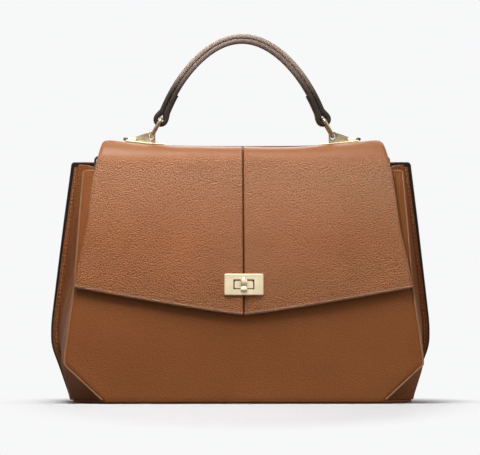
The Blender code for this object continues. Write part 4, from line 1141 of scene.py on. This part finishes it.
stem = by_lock(reach * np.cos(a), reach * np.sin(a), out)
add_rings("knob_stem", stem, gold, "knob", "pale_gold")


# Brackets: a plated bar with rounded edges on the flap's top, riveted to a backing plate under the
# lining. An upright fin holds the ring's eye, flared both ways, and a round tongue points outwards.
PIVOT_X = 0.0792
PIVOT_Z = 0.2315
FIN_THICKNESS = 0.0012
FIN_TOP_ABOVE_PIVOT = 0.0043
FIN_INNER_X = 0.0757
FIN_OUTER_X = 0.0935
BRACKET_PLATE_THICKNESS = 0.0014
BRACKET_PLATE_DEPTH = 0.014
BRACKET_INNER_X = 0.067
BRACKET_OUTER_X = 0.1020
EYE_WAIST_X = 0.0021
EYE_WAIST = 0.0027
EYE_MOUTH = 0.0039
EYE_FLARE_SHARE = 0.6
FIN_INNER_FOOT = 0.0010
FIN_CROWN_END = np.pi * 0.66
FIN_SHOULDER = 0.0041
FIN_CHAMFER = 0.0005
FIN_SINK = 0.0006
FIN_BEVEL = 0.0002
FIN_STEP = 0.0001
BAR_THICKNESS = 0.0020
BAR_ROWS = np.linspace(BRACKET_INNER_X + 0.003, BRACKET_OUTER_X - 0.0012, 16)
BAR_INNER_ROWS = BRACKET_INNER_X + np.array([0, 0.0002, 0.0007, 0.0016])
BAR_OUTER_ROWS = BRACKET_OUTER_X - np.array([0.0006, 0.0002, 0])
BAR_THICK_SHARES = ([0.2, 0.35, 0.45, 0.55], np.linspace(0.65, 1, 16), [0.95, 0.8, 0.5])
BAR_DEEP_SHARES = ([0.78, 0.84, 0.9, 0.95], np.linspace(0.97, 1, 16), [0.99, 0.96, 0.92])
BAR_POWERS = (0.22, 0.35)
TONGUE_RADIUS = 0.0014
TONGUE_SINK = 0.0005
TONGUE_END_X = 0.1038
TONGUE_CAP_X = 0.0997
TONGUE_STEM = (
    (0.0925, 0.0), (0.0925, 0.85), (0.0935, 0.85), (TONGUE_CAP_X, 0.85), (TONGUE_CAP_X + 0.0004, 0.0),
)
TONGUE_CAP = (
    (TONGUE_CAP_X, 0.0), (TONGUE_CAP_X, 0.9), (TONGUE_CAP_X + 0.0003, 1.0), (TONGUE_END_X - 0.0010, 1.0),
    (TONGUE_END_X - 0.0005, 0.87), (TONGUE_END_X - 0.0001, 0.5), (TONGUE_END_X, 0.0),
)
TONGUE_DARK = (0.05, 0.035, 0.025)
TONGUE_PALE = (0.085, 0.06, 0.042)
# Painted shade: the fins and the handle's rings take a darker copy of the pale gold plating.
SHADED_GOLD = (0.46, 0.38, 0.27)
SHADED_GOLD_DEEP = (0.37, 0.30, 0.20)
shaded_gold = plated("shaded_gold_plating", SHADED_GOLD, SHADED_GOLD_DEEP, 0.38)
dark_end, dark_shader, dark_place = new_finish("tongue_end", Metallic=0.4)
dark_place.noise(800.0).mix(TONGUE_DARK, TONGUE_PALE).into(dark_shader.inputs["Base Color"])
(dark_place.noise(300.0) * 0.2 + 0.3).into(dark_shader.inputs["Roughness"])


def bracket_seat(x):
    """The height of a bracket's flat foot, which rests on the flap where its front edge is."""
    return roof_z(x, -BRACKET_PLATE_DEPTH / 2, FLAP_FACE) + GAP


plate_foot = bracket_seat(FIN_OUTER_X) + BRACKET_PLATE_THICKNESS
crown = np.linspace(np.arccos((PIVOT_X - FIN_INNER_X) / FIN_TOP_ABOVE_PIVOT), FIN_CROWN_END, 16)
fin_outline = np.concatenate([
    [(FIN_INNER_X, bracket_seat(FIN_INNER_X) + FIN_INNER_FOOT)],
    places(PIVOT_X - FIN_TOP_ABOVE_PIVOT * np.cos(crown), PIVOT_Z + FIN_TOP_ABOVE_PIVOT * np.sin(crown)),
    [
        (FIN_OUTER_X - FIN_CHAMFER, plate_foot + FIN_SHOULDER),
        (FIN_OUTER_X, plate_foot + FIN_SHOULDER - FIN_CHAMFER),
        (FIN_OUTER_X, plate_foot - FIN_SINK),
        (FIN_INNER_X, bracket_seat(FIN_INNER_X) + FIN_INNER_FOOT),
    ],
])
x, z = (along(fin_outline, FIN_STEP) - (PIVOT_X, PIVOT_Z)).T
bearing = full_turn(128) - np.pi
reach = np.interp(bearing, np.arctan2(z, x), np.hypot(x, z), period=2 * np.pi)
half = FIN_THICKNESS / 2
waist = 1 / np.hypot(np.cos(bearing) / EYE_WAIST_X, np.sin(bearing) / EYE_WAIST)
mouth = np.minimum(EYE_MOUTH, reach - 2 * FIN_BEVEL)
flare = waist + EYE_FLARE_SHARE * (mouth - waist)
FIN_LEVELS = (
    (waist, 0), (flare, -half / 2), (mouth, -half), (reach - FIN_BEVEL, -half), (reach, FIN_BEVEL - half),
    (reach, half - FIN_BEVEL), (reach - FIN_BEVEL, half), (mouth, half), (flare, half / 2),
)
fin = [places(PIVOT_X + r * np.cos(bearing), y, PIVOT_Z + r * np.sin(bearing)) for r, y in FIN_LEVELS]
x = np.concatenate([BAR_INNER_ROWS, BAR_ROWS, BAR_OUTER_ROWS])[:, None]
thick = BAR_THICKNESS / 2 * np.concatenate(BAR_THICK_SHARES)[:, None]
deep = BRACKET_PLATE_DEPTH / 2 * np.concatenate(BAR_DEEP_SHARES)[:, None]
a = full_turn(48)
flat, tall = rounded(np.cos(a), BAR_POWERS[0]), rounded(np.sin(a), BAR_POWERS[1])
bar = places(x, deep * flat, bracket_seat(x) + thick + thick * tall)


def tongue(profile):
    """A round bar along X: (x, share . radius . cos a, middle + share . radius . sin a)."""
    x, share = np.array(profile).T[:, :, None]
    a = full_turn(24)
    middle = bracket_seat(TONGUE_END_X) + BRACKET_PLATE_THICKNESS + TONGUE_RADIUS - TONGUE_SINK
    return places(x, share * TONGUE_RADIUS * np.cos(a), middle + share * TONGUE_RADIUS * np.sin(a))


for word, side in (("left", -1), ("right", 1)):
    for part, rings, finish, ends, replaced in (
        ("bracket_fin_", fin, shaded_gold, "joined", ["bracket_" + word]),
        ("bracket_bar_", bar, gold, "gathered", ()),
        ("tongue_stem_", tongue(TONGUE_STEM), gold, "open", ()),
        ("tongue_cap_", tongue(TONGUE_CAP), dark_end, "open", ()),
    ):
        mirrored = np.array(rings) * (side, 1, 1)
        add_rings(part + word, mirrored, finish, "flap", "pale_gold", replaced, ends)
    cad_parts["bracket_backing_" + word].data.materials[0] = gold


# Handle: an arched outer strap of folded leather, whose ends loop round the rings and tuck back under as
# tails, with an inner strip glued and sewn beneath it. All cut edges are painted.
HANDLE_TOP = 0.317
HANDLE_SPRING_X = 0.0675
HANDLE_SPRING_Z = 0.2548
HANDLE_ROUND_SHARE = 0.904
HANDLE_WIDTH = 0.018
STRAP_THICKNESS = 0.004
LOOP_INNER_RADIUS = 0.0025
LOOP_DROP = 0.009
LOOP_LEAN = np.radians(22.9)
TAIL_END_X = 0.0605
INNER_OUT = -(STRAP_THICKNESS / 2 + GAP)
LOOP_DOWN = np.array([np.sin(LOOP_LEAN), -np.cos(LOOP_LEAN)])
LOOP_OUT = np.array([np.cos(LOOP_LEAN), np.sin(LOOP_LEAN)])
LOOP_CENTRE = np.array([HANDLE_SPRING_X, HANDLE_SPRING_Z]) + LOOP_DROP * LOOP_DOWN
# Painted light: the taupe that the dark edges turn up the arch, on the strap and on the strip.
TAUPE_HIGHLIGHT = (0.29, 0.215, 0.170)
STRIP_HIGHLIGHT = (0.17, 0.120, 0.100)
PAINT_LIT_FROM = 0.268
PAINT_LIT_TO = 0.300
PAINT_WAVER = 0.008
STRAP_PAINT_REACH = 0.0024
STRAP_PAINT_FADE = 0.0008
LOOP_SWELL = 0.0011
TAIL_SWELL = 0.0012
STRAP_EDGE = 0.0012
STRAP_STEP = 0.0016
HANDLE_STITCH_Y = 0.0056
HANDLE_STITCH_RADIUS = 0.00036
HANDLE_STITCH_SINK = 0.0005


def painted_strap(name, lit_paint=TAUPE_HIGHLIGHT):
    """Smooth strap leather with fine grain, its cut edges painted dark at the loops and, by height, a
    lighter taupe up the arch: painted light.

    The attribute painted is 1 on the edges and 0 on both faces.
    """
    finish, shader, place = new_finish(name, Specular_IOR_Level=0.3)
    painted = place.mark("painted")
    cloud = place.noise(60.0, 3.0)
    grain = place.noise(1500.0, 3.0)
    height = place.node("ShaderNodeSeparateXYZ", None, {0: place}, 2) + cloud * PAINT_WAVER
    paint = height.step(PAINT_LIT_FROM, PAINT_LIT_TO).mix(EDGE_PAINT, lit_paint)
    face = (cloud * 0.6 + grain * 0.4).mix(TAN_DEEP, TAN)
    (painted + grain * 0.1).step(0.5, 0.6).mix(face, paint).into(shader.inputs["Base Color"])
    (0.42 + 0.12 * cloud).into(shader.inputs["Roughness"])
    (grain * (1 - painted)).raise_into(shader, 0.0001, 0.3)
    return finish


def arch_point(x, out):
    """The arch z = top - fall . (0.904 share squared + 0.096 share to the 8th), moved out squarely."""
    share = x / HANDLE_SPRING_X
    fall, rest = HANDLE_TOP - HANDLE_SPRING_Z, 1 - HANDLE_ROUND_SHARE
    z = HANDLE_TOP - fall * (HANDLE_ROUND_SHARE * share**2 + rest * share**8)
    slope = -fall / HANDLE_SPRING_X * (2 * HANDLE_ROUND_SHARE * share + 8 * rest * share**7)
    steep = np.hypot(slope, 1)
    return places(x - out * slope / steep, z + out / steep)


def add_strap(name, path, width, thickness, finish, body, slot, replaced=()):
    """A flat strap on edge: its path lies in the XZ plane and its width runs along Y.

    Its section is a rectangle with rounded sides. A third and a fourth column of the path thicken the
    strap on its right and its left.
    """
    path = along(np.pad(path, ((0, 0), (0, 4 - path.shape[1]))), STRAP_STEP)
    right, left = path[:, 2:3], path[:, 3:]
    path = path[:, :2]
    run = unit(np.gradient(path, axis=0))
    flat = np.linspace(-1, 1, 9) * (width / 2 - STRAP_EDGE)
    turn = np.linspace(np.pi / 2, -np.pi / 2, 7)
    edge = width / 2 - STRAP_EDGE + STRAP_EDGE * np.cos(turn)
    y = np.concatenate([flat[:-1], edge, flat[::-1][1:-1], -edge[::-1]])
    rise = thickness / 2 * np.sin(turn)
    out = np.concatenate([0 * flat[:-1] + thickness / 2, rise, 0 * flat[1:-1] - thickness / 2, rise[::-1]])
    share = 2 * out / thickness
    out = out - right * np.clip(-share, 0, 1) + left * np.clip(share, 0, 1)
    rings = places(path[:, :1] - run[:, 1:] * out, y, path[:, 1:] + run[:, :1] * out)

    def edges(p):
        """1 up to 1.6 mm from the strap's two edges, falling to 0 at 2.4 mm."""
        return np.clip((np.abs(p[:, 1]) - width / 2 + STRAP_PAINT_REACH) / STRAP_PAINT_FADE, 0, 1)

    add_rings(name, rings, finish, body, slot, replaced, "gathered", painted=edges)


strap_finish = painted_strap("handle_leather")
strip_finish = painted_strap("handle_strip_leather", STRIP_HIGHLIGHT)
radius = LOOP_INNER_RADIUS + STRAP_THICKNESS / 2
share = np.linspace(0, 1, 12)
ease = (share**2 * (3 - 2 * share))[:, None]
outer_leg = STRAP_THICKNESS / 2 + (radius - STRAP_THICKNESS / 2) * ease
inner_leg = INNER_OUT + (-radius - INNER_OUT) * ease
down = np.array([HANDLE_SPRING_X, HANDLE_SPRING_Z]) + share[:, None] * LOOP_DROP * LOOP_DOWN
turn = np.linspace(0, np.pi, 24)[:, None]
bend = LOOP_CENTRE + radius * (np.cos(turn) * LOOP_OUT + np.sin(turn) * LOOP_DOWN)
swell = np.sin(np.pi * share)[:, None] * LOOP_SWELL * (1, 0)
inner_swell = swell + (1 - share)[:, None] * (GAP, TAIL_SWELL)
tail = np.tile([GAP, TAIL_SWELL], (8, 1))
half = np.concatenate([
    np.hstack([arch_point(np.linspace(0, HANDLE_SPRING_X, 60), STRAP_THICKNESS / 2), np.zeros((60, 2))]),
    np.hstack([down + outer_leg * LOOP_OUT, swell])[1:],
    np.hstack([bend, np.zeros((24, 2))])[1:],
    np.hstack([down + inner_leg * LOOP_OUT, inner_swell])[-2::-1],
    np.hstack([arch_point(np.linspace(HANDLE_SPRING_X, TAIL_END_X, 8), INNER_OUT), tail])[1:],
])
add_strap(
    "handle_outer_leather", np.concatenate([half[:0:-1] * (-1, 1, 1, 1), half]), HANDLE_WIDTH,
    STRAP_THICKNESS, strap_finish, "handle", "edged_leather", ["handle_strap"],
)
add_strap(
    "handle_inner_leather", arch_point(np.linspace(-TAIL_END_X, TAIL_END_X, 120), INNER_OUT + GAP / 2),
    HANDLE_WIDTH, STRAP_THICKNESS + GAP, strip_finish, "handle", "edged_leather", ["handle_inner_strip"],
)
spots = np.linspace(-HANDLE_SPRING_X, HANDLE_SPRING_X, 160)
run = arch_point(spots, STRAP_THICKNESS)
normal = arch_point(spots, STRAP_THICKNESS + FAR) - run
for word, y in (("front", -HANDLE_STITCH_Y), ("rear", HANDLE_STITCH_Y)):
    add_stitches(
        "handle_stitches_" + word, places(run[:, 0], y, run[:, 1]), places(normal[:, 0], 0, normal[:, 1]),
        "handle", radius=HANDLE_STITCH_RADIUS, sink=HANDLE_STITCH_SINK,
    )


# Rings: 3.4 mm plated wire bent to a D and soldered shut. The strap's loop holds the bar, and the bow
# hangs in the bracket's eye.
RING_WIRE_RADIUS = 0.0017
RING_HALF_WIDTH = 0.0122
RING_CORNER = 0.0026


def ring_path(middle, down, half_width, length, corner):
    """A D in the plane of Y and down: a straight bar, quarter-circle corners and half an ellipse."""
    a = np.linspace(0, np.pi / 2, 9)[:-1]
    b = np.linspace(0, np.pi / 2, 40)
    across = np.concatenate([half_width - corner + corner * np.sin(a), half_width * np.cos(b)])
    drop = np.concatenate([corner - corner * np.cos(a), corner + (length - corner) * np.sin(b)])
    bar = np.linspace(0, half_width - corner, 12)[:-1]
    across = np.concatenate([bar, across, -across[-2::-1], -bar[:0:-1]])
    drop = np.concatenate([0 * bar, drop, drop[-2::-1], 0 * bar[1:]])
    return middle + across[:, None] * np.array([0.0, 1.0, 0.0]) + drop[:, None] * down


for word, side in (("left", -1), ("right", 1)):
    middle = np.array([side * LOOP_CENTRE[0], 0, LOOP_CENTRE[1]])
    reach = np.array([side * PIVOT_X, 0, PIVOT_Z]) - middle
    length = np.linalg.norm(reach)
    path = ring_path(middle, reach / length, RING_HALF_WIDTH, length, RING_CORNER)
    add_tube(
        "ring_wire_" + word, path, RING_WIRE_RADIUS, shaded_gold, "ring_" + word, "pale_gold",
        ["handle_ring_" + word], sides=20, closed=True,
    )


# Side tabs: a short strap folded over each side's top edge, sewn through, whose loop holds a small wire
# ring that hangs down outside.
TAB_THICKNESS = 0.002
TAB_WIDTH = 0.012
TAB_LOOP_INNER_RADIUS = 0.0021
TAB_LOOP_ABOVE_GUSSET = 0.007
TAB_LEG_LENGTH = 0.018
SIDE_RING_WIRE_RADIUS = 0.0013
SIDE_RING_HALF_WIDTH = 0.0085
SIDE_RING_LENGTH = 0.015
SIDE_RING_CORNER = 0.002
SIDE_RING_LEAN = np.radians(28.0)
# Painted shade: the side rings take a dark copy of the gold, for the shade between flap and wings.
SHADED_RING_GOLD = (0.24, 0.185, 0.13)
SHADED_RING_DEEP = (0.16, 0.12, 0.085)
shaded_ring_gold = plated("shaded_ring_gold_plating", SHADED_RING_GOLD, SHADED_RING_DEEP, 0.42)
tab_x = crest_half_width(GUSSET_TOP) - GUSSET_THICKNESS / 2
tab_z = GUSSET_TOP + TAB_LOOP_ABOVE_GUSSET
loop_radius = TAB_LOOP_INNER_RADIUS + TAB_THICKNESS / 2
leg_out = GUSSET_THICKNESS / 2 + GAP + TAB_THICKNESS / 2
share = np.linspace(0, 1, 16)
leg_z = GUSSET_TOP - TAB_LEG_LENGTH * (1 - share)
leg_x = crest_half_width(leg_z) - GUSSET_THICKNESS / 2
neck_out = leg_out + (loop_radius - leg_out) * share**2 * (3 - 2 * share)
neck_z = GUSSET_TOP + TAB_LOOP_ABOVE_GUSSET * share
outer_half, inner_half = (
    np.concatenate([places(leg_x + out * leg_out, leg_z), places(tab_x + out * neck_out, neck_z)[1:]])
    for out in (1, -1)
)
turn = np.linspace(0, np.pi, 24)[1:-1]
over = places(tab_x + loop_radius * np.cos(turn), tab_z + loop_radius * np.sin(turn))
tab_path = np.concatenate([outer_half, over, inner_half[::-1]])
for word, side in (("left", -1), ("right", 1)):
    add_strap(
        "side_tab_leather_" + word, tab_path * (side, 1), TAB_WIDTH, TAB_THICKNESS, strap_finish, "bag",
        "edged_leather", ["side_tab_" + word],
    )
    down = np.array([side * np.sin(SIDE_RING_LEAN), 0, -np.cos(SIDE_RING_LEAN)])
    middle = np.array([side * tab_x, 0, tab_z])
    path = ring_path(middle, down, SIDE_RING_HALF_WIDTH, SIDE_RING_LENGTH, SIDE_RING_CORNER)
    add_tube(
        "side_ring_wire_" + word, path, SIDE_RING_WIRE_RADIUS, shaded_ring_gold, "side_ring_" + word, "pale_gold",
        ["side_ring_" + word], sides=16, closed=True,
    )


bpy.context.view_layer.update()
